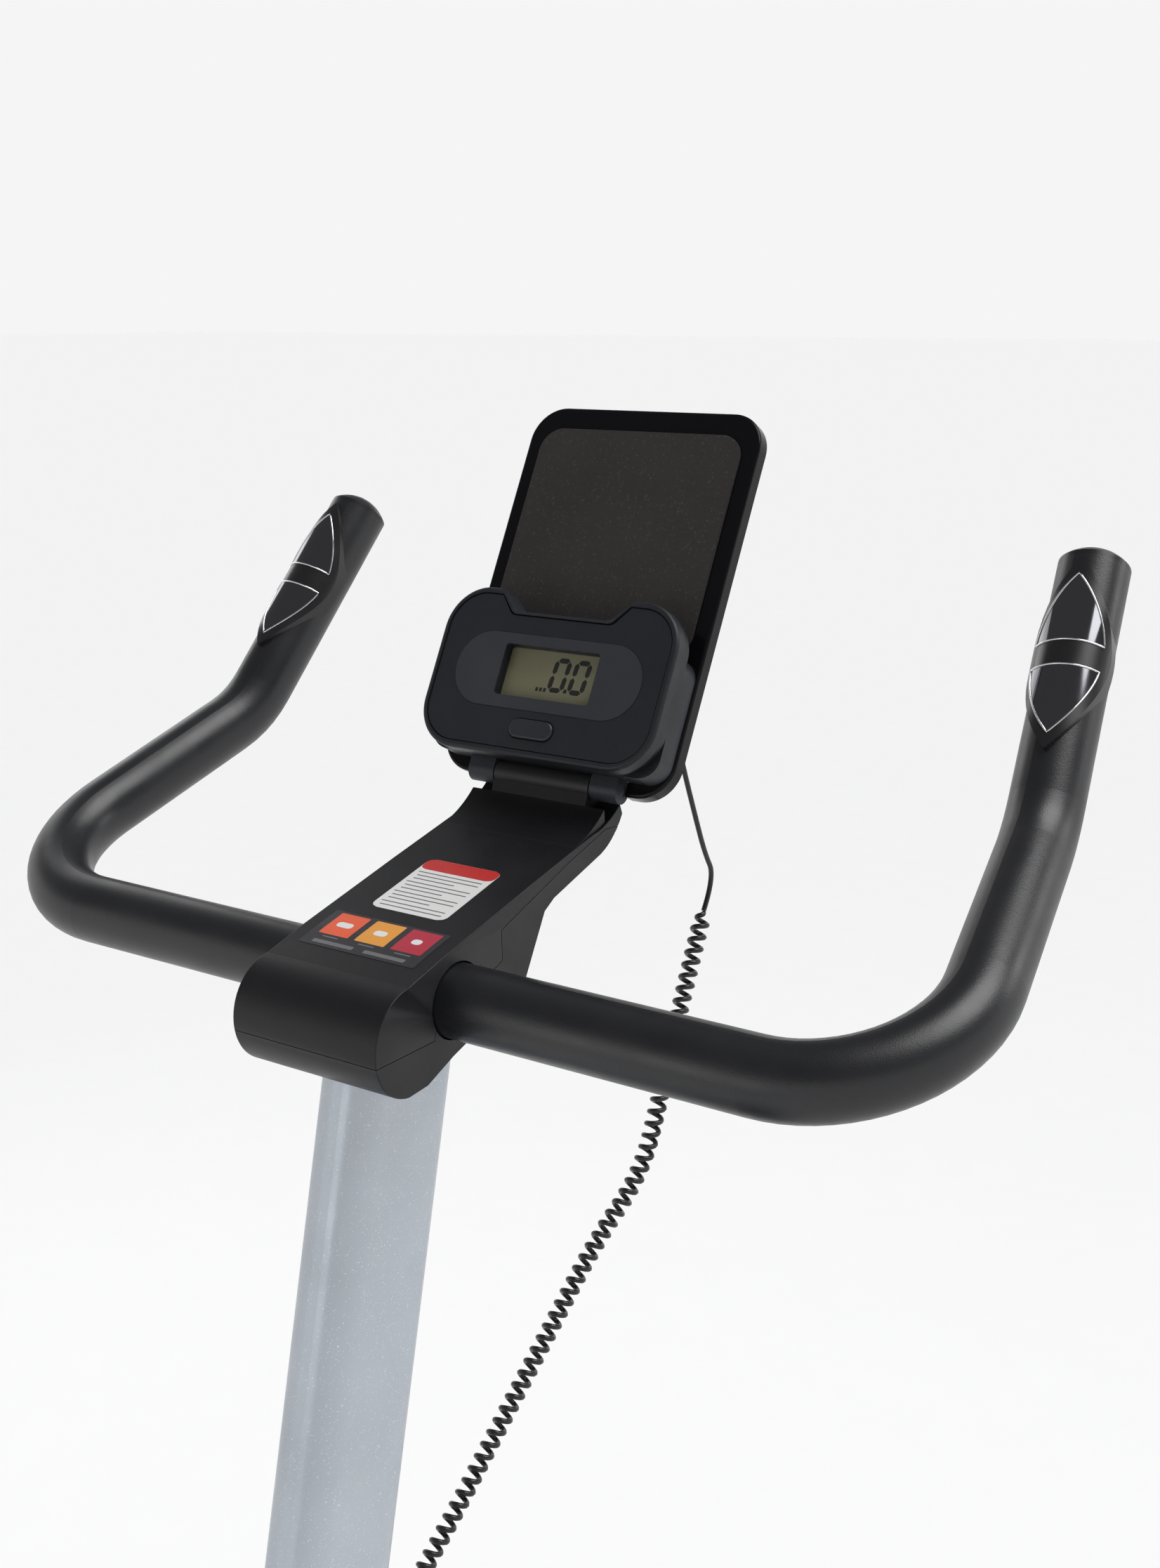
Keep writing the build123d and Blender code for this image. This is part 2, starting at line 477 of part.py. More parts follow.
    forks, rings = [], []
    fa = 28.0
    for sx in (-1, 1):
        x0, x1 = sorted((sx * (post_width / 2 + grow + 0.02), sx * (post_width / 2 + grow + 6)))
        arm = hull_of([(fly_y, crank_z, 24), (44, crank_z - 8, 26)], x0, x1)
        arm = arm - across(-50, 50, fly_y, crank_z, 14)
        brace = hull_of([(184.0, 461.7, 10), (78, 440, 16)], x0, x1)
        brace = brace - across(-50, 50, 184.0, 461.7, 4.02)
        forks += [arm, brace]
        rings.append(tube((x0, fly_y, crank_z), (x1, fly_y, crank_z), 13.98, 8 + run_gap))
        a, b = (28, 40) if sx > 0 else (-40, -28)
        rings.append(tube((a, crank_y, crank_z), (b, crank_y, crank_z), 19.98, axle_r + run_gap))
    pin = across(-33, 33, 184.0, 461.7, 4)
    save("fork_plates", *forks, pin)
    save("bearings", *rings)

    # Collars that carry the pull knobs, and the tension knob's own boss.
    collars = []
    out = Vector(0, -cos(radians(post_lean)), sin(radians(post_lean)))
    for name, z, travel in (("post_lock_knob", 620, True), ("tension_knob", 540, False)):
        p = post_at.from_local_coords(Vector(0, -(post_depth / 2 + grow), on_post(z)))
        q = post_at.from_local_coords(Vector(0, -(post_depth / 2 + 0.4), on_post(z)))
        collars.append(tube(tuple(p + out * 0.02), tuple(p + out * 16), 11, 5 + run_gap))
        save(name, knob(q, p + out * 17, out, 20 if travel else 23))
    so = Vector(0, cos(radians(seat_lean)), sin(radians(seat_lean)))
    p = seat_at.from_local_coords(Vector(0, seat_tube_r - 0.5, knob_s))
    q = seat_at.from_local_coords(Vector(0, seat_post_r + 0.4, knob_s))
    wrap = tube(tuple(p), tuple(p + so * 16.5), 11, 5 + run_gap) - rod(seat_pt(-20), seat_pt(top), seat_tube_r + 0.02)
    collars.append(max(wrap.solids(), key=lambda s: s.volume))
    save("seat_lock_knob", knob(q, p + so * 17.5, so, 20))
    save("knob_collars", *collars)


def knob(tip, base, out, r):
    pin = rod(tuple(tip), tuple(base + out * 2), 5)
    head = rod(tuple(base), tuple(base + out * 22), r)
    head = soften(head, lambda s: s.edges().filter_by(GeomType.CIRCLE), 4)
    at = Plane(origin=base, z_dir=out)
    for i in range(6):
        a = radians(60 * i)
        c = at.from_local_coords(Vector((r + 5.5) * cos(a), (r + 5.5) * sin(a), -5))
        head = head - rod(tuple(c), tuple(c + out * 40), 8)
    return pin + head


# Drive: crank, pulley and belt to the flywheel with its magnetic brake.
def drive():
    axle = across(-101, 101, crank_y, crank_z, axle_r)
    save("crank_axle", axle)
    arms = []
    for sx, sy in ((1, 1), (-1, -1)):
        x0, x1 = sorted((sx * arm_in, sx * (arm_in + arm_t)))
        py = crank_y + sy * crank_len
        arm = hull_of([(crank_y, crank_z, 19), (py, crank_z, 13)], x0, x1)
        arm = soften(arm, lambda s: [e for e in s.edges() if abs((e % 0.5).X) < 0.1], 2.5)
        arm = arm - across(-120, 120, crank_y, crank_z, axle_r + 0.02)
        pa, pb = sorted((sx * (arm_in + 2), sx * (pedal_x + pedal_w / 2 - 2)))
        axle_p = across(pa, pb, py, crank_z, 6)
        ca, cb = sorted((sx * (pedal_x + pedal_w / 2 - 2), sx * (pedal_x + pedal_w / 2 + 1)))
        nut_a, nut_b = sorted((sx * (arm_in + arm_t), sx * (arm_in + arm_t + 5)))
        arm = arm + axle_p + across(nut_a, nut_b, py, crank_z, 9)
        arms.append(arm)
        pedal(sx, py)
    save("crank_arms", *arms)
    covers = []
    for sx in (-1, 1):
        a, b = sorted((sx * 76, sx * 80))
        c, d = sorted((sx * 80, sx * 84.98))
        disc = across(a, b, crank_y, crank_z, 62) + across(c, d, crank_y, crank_z, 22)
        disc = soften(disc, lambda s: s.edges().filter_by(lambda e: e.geom_type == GeomType.CIRCLE
                                                           and e.radius > 60), 1.5)
        covers.append(disc - across(-120, 120, crank_y, crank_z, axle_r + 0.02))
    save("crank_covers", *covers)
    px0, px1 = pulley_x - 6, pulley_x + 6
    pulley = across(px0, px1, crank_y, crank_z, pulley_r) - across(px0 - 1, px0 + 3.5, crank_y, crank_z, pulley_r - 9) \
        - across(px1 - 3.5, px1 + 1, crank_y, crank_z, pulley_r - 9)
    pulley = pulley + across(px0 - 5.5, px1 + 4, crank_y, crank_z, 20)
    for i in range(6):
        a = radians(60 * i)
        pulley = pulley - across(px0 - 9, px1 + 9, crank_y + 56 * cos(a), crank_z + 56 * sin(a), 17)
    save("drive_pulley", pulley - across(-120, 120, crank_y, crank_z, axle_r + 0.02))

    wheel = across(-fly_t / 2, fly_t / 2, fly_y, crank_z, fly_r)
    wheel = soften(wheel, lambda s: s.edges().filter_by(GeomType.CIRCLE), 1.5)
    for sx in (-1, 1):
        a, b = sorted((sx * 5, sx * 20))
        wheel = wheel - (across(a, b, fly_y, crank_z, fly_r - fly_rim) - across(a, b, fly_y, crank_z, 28))
    save("flywheel", wheel - across(-60, 60, fly_y, crank_z, 8.02))
    axle = across(-36, 64, fly_y, crank_z, 8)
    small = across(pulley_x - 7, pulley_x + 7, fly_y, crank_z, small_r)
    flange = [across(x, x + 1.5, fly_y, crank_z, small_r + 4) for x in (pulley_x - 8.5, pulley_x + 7)]
    save("flywheel_axle", axle + small + flange[0] + flange[1])
    loops = [hull_of([(crank_y, crank_z, pulley_r + g), (fly_y, crank_z, small_r + g)],
                     pulley_x - belt_w / 2, pulley_x + belt_w / 2) for g in (belt_gap + belt_t, belt_gap)]
    save("drive_belt", loops[0] - loops[1])

    def sector(r0, r1, a0, a1, x0, x1):
        ring = tube((x0, fly_y, crank_z), (x1, fly_y, crank_z), r1, r0)
        pts = [(fly_y, crank_z)] + [(fly_y + 400 * cos(radians(a)), crank_z + 400 * sin(radians(a)))
                                    for a in (a0, (a0 + a1) / 2, a1)]
        return ring & profile(pts, x0 - 1, x1 + 1)
    arm = sector(146, 150, 30, 108, -18, 18)
    hub = across(-18, 18, 184.0, 461.7, 9)
    arm = max((arm + hub).solids(), key=lambda s: s.volume) - across(-40, 40, 184.0, 461.7, 4 + run_gap)
    save("magnet_arm", arm - across(-40, 40, fly_y, crank_z, 141.5))
    mags = []
    for a in (38, 56, 74, 90):
        for x0 in (-15, 1.5):
            m = sector(142.5, 145.98, a - 5, a + 5, x0, x0 + 13.5)
            mags.append(m)
    save("brake_magnets", *mags)


def pedal(sx, py):
    side_name = "right" if sx > 0 else "left"
    x0, x1 = sorted((sx * (pedal_x - pedal_w / 2 + 1.5), sx * (pedal_x + pedal_w / 2)))
    body = block(x0, x1, py - pedal_l / 2, py + pedal_l / 2, crank_z - pedal_h / 2, crank_z + pedal_h / 2)
    body = soften(body, lambda s: s.edges().filter_by(Axis.Z), 12)
    for y0, y1 in ((-34, -11), (11, 34)):
        for k in range(2):
            a = x0 + 10 + k * (x1 - x0 - 16) / 2
            body = body - block(a, a + (x1 - x0 - 28) / 2, py + y0, py + y1, crank_z - 40, crank_z + 40)
    for k in range(7):
        y = py - 36 + 12 * k
        body = body + block(x0 + 9, x1 - 9, y - 1.2, y + 1.2, crank_z + pedal_h / 2 - 1, crank_z + pedal_h / 2 + 1.2)
    body = body - across(-250, 250, py, crank_z, 6 + run_gap)
    save(f"pedal_{side_name}", max(body.solids(), key=lambda s: s.volume))
    cx, w = (x0 + x1) / 2, (x1 - x0) / 2
    outer = Pos(cx, 0) * Ellipse(w + 2.8, 68) - Pos(cx, 0) * Ellipse(w + 0.6, 65.8) - Pos(cx, -60) * Rectangle(300, 120)
    legs = [Pos(cx + s * (w + 1.7), -5.5) * Rectangle(2.2, 13) for s in (-1, 1)]
    sk = outer + legs[0] + legs[1]
    strap = Plane(origin=(0, py + 34, crank_z + 2), x_dir=(1, 0, 0), z_dir=(0, -1, 0)).location * extrude(sk, 26)
    save(f"pedal_strap_{side_name}", max(strap.solids(), key=lambda s: s.volume))


def housings():
    circles = [(fly_y, crank_z, 164), (crank_y, crank_z, 118)]
    small = [(y, z, r - house_wall) for y, z, r in circles]
    outer = hull_of(circles, -house_half, house_half)
    outer = soften(outer, lambda s: [e for e in s.edges() if abs((e % 0.5).X) < 0.1], 16)
    hollow = soften(hull_of(small, -house_half + house_wall, house_half - house_wall),
                    lambda s: [e for e in s.edges() if abs((e % 0.5).X) < 0.1], 13)
    shell = outer - hollow - post_section(sleeve_gap + sleeve_wall + 1.2, -1000, -300)
    shell = shell - block(-20, 20, -300, -150, crank_z - 22, crank_z + 22)
    shell = shell - across(-100, 100, crank_y, crank_z, 34)
    right = shell & block(0.15, 100, -400, 500, 0, 600)
    left = shell & block(-100, -0.15, -400, 500, 0, 600)
    save("housing_right", *right.solids())
    save("housing_left", *left.solids())


def saddle():
    def seat_pt(z, dy=0.0):
        s = (z - seat_at.origin.Z) / cos(radians(seat_lean))
        return tuple(seat_at.from_local_coords(Vector(0, dy, s)))
    save("seat_post", tube(seat_pt(seat_post_low), seat_pt(seat_post_top), seat_post_r, seat_post_r - 2.5))
    at = Plane(origin=(0, saddle_y, saddle_z), x_dir=(1, 0, 0), z_dir=(0, 0, 1))
    pts = [(0, 136), (24, 128), (33, 96), (42, 40), (78, -12), (108, -66), (106, -108), (62, -130), (0, -122)]
    whole = pts + [(-x, y) for x, y in reversed(pts[1:-1])]

    def plan(k):
        return make_face(Spline(*[(x * k, y * (0.5 + k / 2)) for x, y in whole], periodic=True))
    base = at.location * extrude(plan(0.9), 5)
    pan = rod(seat_pt(seat_post_top - 30), seat_pt(seat_post_top + 14), seat_post_r - 2.52) & block(
        -60, 60, -600, -200, 700, saddle_z - 6)
    head = block(-28, 28, saddle_y - 38, saddle_y + 22, saddle_z - 22, saddle_z)
    head = soften(head, lambda s: s.edges().filter_by(Axis.Z), 8)
    head = head - (rod(seat_pt(seat_post_top - 60), seat_pt(seat_post_top), seat_post_r + 0.02)
                   - rod(seat_pt(seat_post_top - 61), seat_pt(seat_post_top + 1), seat_post_r - 2.52))
    save("saddle_base", max((base + head + pan).solids(), key=lambda s: s.volume))
    cushion = at.location * extrude(Pos(0, 0, 5.02) * plan(1.0), 50)
    cushion = soften(cushion, lambda s: s.edges().filter_by(lambda e: e.center().Z > saddle_z + 54), 26)
    cushion = soften(cushion, lambda s: s.edges().filter_by(lambda e: e.center().Z < saddle_z + 5.1), 4)
    save("saddle_pad", cushion)


handlebar()
post_and_clamp()
cover()
console()
cord()
frame_parts()
drive()
housings()
saddle()
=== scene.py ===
import bpy
import bmesh
from math import cos, sin, pi, radians, sqrt, atan2
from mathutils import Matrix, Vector


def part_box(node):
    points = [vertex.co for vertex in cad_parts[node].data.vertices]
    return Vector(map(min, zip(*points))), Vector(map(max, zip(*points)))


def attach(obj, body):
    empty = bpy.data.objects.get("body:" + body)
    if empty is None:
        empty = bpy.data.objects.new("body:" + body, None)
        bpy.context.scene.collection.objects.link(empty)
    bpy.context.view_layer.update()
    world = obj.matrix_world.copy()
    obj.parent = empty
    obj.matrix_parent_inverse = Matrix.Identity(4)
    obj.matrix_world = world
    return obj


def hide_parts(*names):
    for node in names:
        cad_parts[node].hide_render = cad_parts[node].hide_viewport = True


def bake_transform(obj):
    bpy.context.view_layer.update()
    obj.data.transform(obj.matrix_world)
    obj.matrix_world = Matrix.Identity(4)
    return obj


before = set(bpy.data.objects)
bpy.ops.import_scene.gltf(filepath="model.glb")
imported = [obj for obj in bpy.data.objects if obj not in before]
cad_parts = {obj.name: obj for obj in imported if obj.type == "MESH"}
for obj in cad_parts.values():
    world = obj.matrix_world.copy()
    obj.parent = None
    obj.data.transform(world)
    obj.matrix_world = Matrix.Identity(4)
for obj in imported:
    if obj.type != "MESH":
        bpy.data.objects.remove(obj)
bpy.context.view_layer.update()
print("frame loaded:", len(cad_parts), "nodes")

studio = {"floor": (0.92, 0.92, 0.92), "sky": (0.913, 0.913, 0.913),
          "overhead": (0.2, 0.2, 0.205), "bandTop": 0.2, "bandFade": 0.16, "skyStrength": 1.0,
          "sun": 2.5, "sunAngle": 45, "sunFrom": (0.45, 0.2, 1.0),
          "cameraAt": (0.5804, -0.4930, 1.4091), "turn": 34.087, "tip": 14.223, "lens": 42.96}


# ---------- materials: every one reads Object coordinates ----------
def startMaterial(name):
    mat = bpy.data.materials.new(name)
    mat.use_nodes = True
    tree = mat.node_tree
    shader = tree.nodes["Principled BSDF"]
    coords = tree.nodes.new("ShaderNodeTexCoord")
    return mat, tree, shader, coords.outputs["Object"]


def noiseOf(tree, coords, scale, detail=3.0, rough=0.55, stretch=None):
    if stretch:
        mapping = tree.nodes.new("ShaderNodeMapping")
        mapping.inputs["Scale"].default_value = stretch
        tree.links.new(coords, mapping.inputs["Vector"])
        coords = mapping.outputs["Vector"]
    noise = tree.nodes.new("ShaderNodeTexNoise")
    noise.inputs["Scale"].default_value = scale
    noise.inputs["Detail"].default_value = detail
    noise.inputs["Roughness"].default_value = rough
    tree.links.new(coords, noise.inputs["Vector"])
    return noise.outputs["Fac"]


def ramp(tree, factor, stops):
    node = tree.nodes.new("ShaderNodeValToRGB")
    band = node.color_ramp
    while len(band.elements) < len(stops):
        band.elements.new(0.5)
    for element, (at, colour) in zip(band.elements, stops):
        element.position = at
        element.color = (*colour, 1.0)
    tree.links.new(factor, node.inputs["Fac"])
    return node.outputs["Color"]


def spread(tree, factor, low, high):
    node = tree.nodes.new("ShaderNodeMapRange")
    node.inputs["From Min"].default_value = 0.3
    node.inputs["From Max"].default_value = 0.7
    node.inputs["To Min"].default_value = low
    node.inputs["To Max"].default_value = high
    tree.links.new(factor, node.inputs["Value"])
    return node.outputs["Result"]


def bumpFrom(tree, height, strength, distance, under=None):
    node = tree.nodes.new("ShaderNodeBump")
    node.inputs["Strength"].default_value = strength
    node.inputs["Distance"].default_value = distance
    tree.links.new(height, node.inputs["Height"])
    if under:
        tree.links.new(under, node.inputs["Normal"])
    return node.outputs["Normal"]


def shade(colour, k):
    return tuple(min(1.0, c * k) for c in colour)


def finish(name, colour, rough, metal=0.0, vary=0.12, grain=(900, 0.15, 0.0002), wave=None, patch=14,
           roughVary=0.06, coat=0.0, specular=0.5, wear=None, flakes=None, streaks=None):
    mat, tree, shader, coords = startMaterial(name)
    mottled = ramp(tree, noiseOf(tree, coords, patch, 4),
                   [(0.3, shade(colour, 1 - vary)), (0.7, shade(colour, 1 + vary))])
    if flakes:  # sparkle in a metallic paint, or specks in a moulded pad
        scale, amount, flakeColour = flakes
        cells = tree.nodes.new("ShaderNodeTexVoronoi")
        cells.inputs["Scale"].default_value = scale
        tree.links.new(coords, cells.inputs["Vector"])
        specks = ramp(tree, cells.outputs["Color"], [(1 - amount, (0, 0, 0)), (1.0, (1, 1, 1))])
        mixed = tree.nodes.new("ShaderNodeMix")
        mixed.data_type = "RGBA"
        tree.links.new(specks, mixed.inputs["Factor"])
        tree.links.new(mottled, mixed.inputs["A"])
        mixed.inputs["B"].default_value = (*flakeColour, 1)
        mottled = mixed.outputs["Result"]
    if wear:  # lighter where an edge has rubbed
        geometry = tree.nodes.new("ShaderNodeNewGeometry")
        edge = ramp(tree, geometry.outputs["Pointiness"], [(0.52, (0, 0, 0)), (0.62, (1, 1, 1))])
        mixed = tree.nodes.new("ShaderNodeMix")
        mixed.data_type = "RGBA"
        tree.links.new(edge, mixed.inputs["Factor"])
        tree.links.new(mottled, mixed.inputs["A"])
        mixed.inputs["B"].default_value = (*wear, 1)
        mottled = mixed.outputs["Result"]
    tree.links.new(mottled, shader.inputs["Base Color"])
    tree.links.new(spread(tree, noiseOf(tree, coords, patch * 2.3, 5), rough - roughVary, rough + roughVary),
                   shader.inputs["Roughness"])
    shader.inputs["Metallic"].default_value = metal
    shader.inputs["Specular IOR Level"].default_value = specular
    shader.inputs["Coat Weight"].default_value = coat
    shader.inputs["Coat Roughness"].default_value = 0.12
    normal = None
    if wave:
        normal = bumpFrom(tree, noiseOf(tree, coords, wave[0], 2), wave[1], wave[2])
    if streaks:
        lines = noiseOf(tree, coords, streaks[0], 3, 0.6, streaks[3])
        normal = bumpFrom(tree, lines, streaks[1], streaks[2], normal)
    if grain:
        normal = bumpFrom(tree, noiseOf(tree, coords, grain[0], 2), grain[1], grain[2], normal)
    if normal:
        tree.links.new(normal, shader.inputs["Normal"])
    return mat


barVinyl = finish("barVinyl", (0.0075, 0.008, 0.0098), 0.36, vary=0.1, grain=(1300, 0.32, 0.00022),
                  wave=(160, 0.12, 0.0004), roughVary=0.05, specular=0.55)
capPlastic = finish("capPlastic", (0.008, 0.008, 0.0095), 0.34, grain=(1500, 0.12, 0.0001))
surroundPlastic = finish("surroundPlastic", (0.009, 0.009, 0.01), 0.3, grain=(1800, 0.1, 0.0001))
coverPlastic = finish("coverPlastic", (0.0075, 0.0077, 0.009), 0.42, vary=0.08, grain=(2100, 0.4, 0.00015),
                      wear=(0.024, 0.024, 0.026), specular=0.3)
glossPlate = finish("glossPlate", (0.004, 0.004, 0.005), 0.2, vary=0.05, roughVary=0.035, grain=None,
                    streaks=(60, 0.03, 0.0002, (1.0, 6.0, 1.0)), specular=0.15)
padRubber = finish("padRubber", (0.026, 0.0215, 0.0205), 0.74, vary=0.14, grain=(1500, 0.6, 0.0003),
                   flakes=(900, 0.25, (0.05, 0.045, 0.042)), specular=0.35)
caseTexture = finish("caseTexture", (0.0085, 0.0098, 0.0135), 0.46, vary=0.08, grain=(1700, 0.55, 0.00022),
                     wear=(0.024, 0.027, 0.034), specular=0.38)
faceTexture = finish("faceTexture", (0.0095, 0.011, 0.015), 0.46, vary=0.08, grain=(1900, 0.45, 0.0002),
                     specular=0.38)
ovalSatin = finish("ovalSatin", (0.028, 0.03, 0.037), 0.36, vary=0.06, grain=(2600, 0.15, 0.0001))
buttonSatin = finish("buttonSatin", (0.014, 0.016, 0.02), 0.42, vary=0.06, grain=(1500, 0.25, 0.0001))
lcdOlive = finish("lcdOlive", (0.215, 0.208, 0.125), 0.4, vary=0.06, patch=30, grain=(700, 0.05, 0.00005))
segmentInk = finish("segmentInk", (0.006, 0.006, 0.006), 0.5, vary=0.1, grain=None)
chromePlate = finish("chromePlate", (0.78, 0.78, 0.8), 0.12, metal=1.0, vary=0.03, roughVary=0.05, grain=None,
                     streaks=(90, 0.04, 0.0002, (8.0, 1.0, 1.0)))
darkChrome = finish("darkChrome", (0.14, 0.14, 0.15), 0.07, metal=1.0, vary=0.04, roughVary=0.02, grain=None,
                    streaks=(90, 0.03, 0.0002, (8.0, 1.0, 1.0)))
plainSteel = finish("plainSteel", (0.46, 0.46, 0.47), 0.34, metal=1.0, vary=0.12, grain=(900, 0.12, 0.0001))
silverPaint = finish("silverPaint", (0.46, 0.50, 0.545), 0.46, metal=0.6, vary=0.04,
                     grain=(2600, 0.28, 0.00012), flakes=(2200, 0.16, (0.85, 0.87, 0.9)),
                     streaks=(26, 0.1, 0.0003, (9.0, 9.0, 0.5)), coat=0.25)
darkPaint = finish("darkPaint", (0.017, 0.017, 0.019), 0.36, vary=0.1, grain=(1000, 0.25, 0.00018),
                   wave=(220, 0.2, 0.0003), wear=(0.05, 0.05, 0.052))
shellPlastic = finish("shellPlastic", (0.02, 0.0205, 0.0225), 0.44, vary=0.08, grain=(1900, 0.4, 0.00015),
                      wear=(0.045, 0.045, 0.047))
cordRubber = finish("cordRubber", (0.009, 0.009, 0.010), 0.3, vary=0.1, grain=(1400, 0.12, 0.0001))
treadRubber = finish("treadRubber", (0.016, 0.016, 0.016), 0.68, vary=0.18, grain=(800, 0.5, 0.0003))
beltRubber = finish("beltRubber", (0.012, 0.012, 0.012), 0.72, vary=0.2, grain=(700, 0.6, 0.0003))
castIron = finish("castIron", (0.055, 0.056, 0.06), 0.5, metal=0.6, vary=0.2, grain=(380, 0.5, 0.0006))
boardGreen = finish("boardGreen", (0.012, 0.09, 0.035), 0.4, vary=0.2, patch=90, grain=(500, 0.2, 0.0001))
paperWhite = finish("paperWhite", (0.72, 0.72, 0.71), 0.42, vary=0.03, grain=(900, 0.08, 0.00005), coat=0.3)
labelRed = finish("labelRed", (0.5, 0.022, 0.02), 0.4, vary=0.05, grain=(900, 0.06, 0.00005), coat=0.3)
labelInk = finish("labelInk", (0.13, 0.13, 0.135), 0.45, vary=0.08, grain=None)
# dark label print; the screw heads also use it as painted shade in their slots
darkInkAndSlotShade = finish("darkInkAndSlotShade", (0.02, 0.02, 0.024), 0.3, vary=0.06, grain=(900, 0.06, 0.00005), coat=0.3)
tileOrange = finish("tileOrange", (0.72, 0.1, 0.035), 0.35, vary=0.06, grain=None, coat=0.3)
tileAmber = finish("tileAmber", (0.72, 0.3, 0.04), 0.35, vary=0.06, grain=None, coat=0.3)
tileCrimson = finish("tileCrimson", (0.42, 0.02, 0.045), 0.35, vary=0.06, grain=None, coat=0.3)
reflectorAmber = finish("reflectorAmber", (0.75, 0.2, 0.02), 0.16, vary=0.05, grain=(260, 0.6, 0.0006),
                        coat=0.6)
threadGrey = finish("threadGrey", (0.09, 0.09, 0.095), 0.7, vary=0.15, grain=(1500, 0.4, 0.0001))


def saddleVinylMaterial():
    mat, tree, shader, coords = startMaterial("saddleVinyl")
    hide = ramp(tree, noiseOf(tree, coords, 9, 5),
                [(0.3, (0.012, 0.012, 0.0135)), (0.7, (0.019, 0.019, 0.021))])
    tree.links.new(hide, shader.inputs["Base Color"])
    tree.links.new(spread(tree, noiseOf(tree, coords, 30, 5), 0.42, 0.58), shader.inputs["Roughness"])
    cells = tree.nodes.new("ShaderNodeTexVoronoi")
    cells.feature = "DISTANCE_TO_EDGE"
    cells.inputs["Scale"].default_value = 420
    tree.links.new(coords, cells.inputs["Vector"])
    grain = bumpFrom(tree, cells.outputs["Distance"], 0.5, 0.0006)
    tree.links.new(bumpFrom(tree, noiseOf(tree, coords, 60, 3), 0.15, 0.001, grain), shader.inputs["Normal"])
    shader.inputs["Sheen Weight"].default_value = 0.1
    return mat


def lensMaterial():
    mat, tree, shader, coords = startMaterial("lensClear")
    tint = ramp(tree, noiseOf(tree, coords, 30, 2), [(0.3, (0.05, 0.05, 0.042)), (0.7, (0.06, 0.06, 0.05))])
    tree.links.new(tint, shader.inputs["Base Color"])
    tree.links.new(spread(tree, noiseOf(tree, coords, 50, 3), 0.06, 0.12), shader.inputs["Roughness"])
    shader.inputs["Alpha"].default_value = 0.06
    return mat


saddleVinyl = saddleVinylMaterial()
lensClear = lensMaterial()

nodeFinish = {
    barVinyl: ["handlebar_tube"],
    capPlastic: ["bar_end_caps"],
    surroundPlastic: ["pulse_housings"],
    darkChrome: ["pulse_plates"],
    chromePlate: ["crank_arms"],
    silverPaint: ["handlebar_post", "seat_post"],
    plainSteel: ["clamp_base", "clamp_cap", "clamp_bolts", "hinge_pin", "console_screws", "frame_bolts",
                 "bearings", "knob_collars", "magnet_arm", "brake_magnets", "crank_axle", "flywheel_axle"],
    coverPlastic: ["cover_top", "cover_bottom"],
    caseTexture: ["console_housing"],
    faceTexture: ["face_plate"],
    ovalSatin: ["oval_panel"],
    buttonSatin: ["console_button"],
    lcdOlive: ["lcd_module"],
    lensClear: ["lcd_lens"],
    boardGreen: ["circuit_board"],
    glossPlate: ["holder_plate"],
    padRubber: ["holder_pad"],
    shellPlastic: ["console_rear", "housing_left", "housing_right", "crank_covers", "drive_pulley",
                   "post_lock_knob", "seat_lock_knob", "tension_knob", "sleeve_bush", "seat_bush",
                   "pedal_left", "pedal_right", "cord_socket"],
    darkPaint: ["base_beam", "stabilisers", "post_sleeve", "seat_tube", "bottom_bracket", "fork_plates",
                "saddle_base"],
    treadRubber: ["stabiliser_feet", "wheel_left", "wheel_right", "pedal_strap_left", "pedal_strap_right"],
    beltRubber: ["drive_belt"],
    castIron: ["flywheel"],
    cordRubber: ["console_lead", "console_coil"],
    saddleVinyl: ["saddle_pad"],
}
for material, names in nodeFinish.items():
    for name in names:
        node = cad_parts[name]
        if not node.material_slots:
            node.data.materials.append(material)
        for materialSlot in node.material_slots:
            materialSlot.material = material
left = [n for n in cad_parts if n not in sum(nodeFinish.values(), [])]
print("materials on CAD nodes; left out:", left)


# ---------- helpers for new pieces ----------
def pieceFrom(name, verts, faces, materials, faceMaterial=None, smooth=False):
    mesh = bpy.data.meshes.new(name)
    mesh.from_pydata([tuple(v) for v in verts], [], faces)
    for material in materials:
        mesh.materials.append(material)
    if faceMaterial:
        for polygon, index in zip(mesh.polygons, faceMaterial):
            polygon.material_index = index
    mesh.validate()
    mesh.update()
    if smooth:
        mesh.shade_smooth()
    piece = bpy.data.objects.new(name, mesh)
    bpy.context.scene.collection.objects.link(piece)
    return piece


def outward(piece):
    bm = bmesh.new()
    bm.from_mesh(piece.data)
    bmesh.ops.remove_doubles(bm, verts=bm.verts, dist=1e-6)
    bmesh.ops.recalc_face_normals(bm, faces=bm.faces)
    bm.to_mesh(piece.data)
    bm.free()


def plainMesh(piece):
    graph = bpy.context.evaluated_depsgraph_get()
    mesh = bpy.data.meshes.new_from_object(piece.evaluated_get(graph))
    piece.modifiers.clear()
    piece.data = mesh
    return piece


def spoke(u, v, share):
    # a unit step from a line's middle, at a share of a full turn from u towards v
    a = 2 * pi * share
    return u * cos(a) + v * sin(a)


def ringFaces(rows, sides, closed):
    # four-sided faces between neighbouring rings of points
    faces = []
    for row in range(rows if closed else rows - 1):
        here, ahead = row * sides, (row + 1) % rows * sides
        for k in range(sides):
            onward = (k + 1) % sides
            faces.append((here + k, here + onward, ahead + onward, ahead + k))
    return faces


consoleFrame = {"origin": (0.0, 0.3339, 1.1573), "tilt": 27.46}


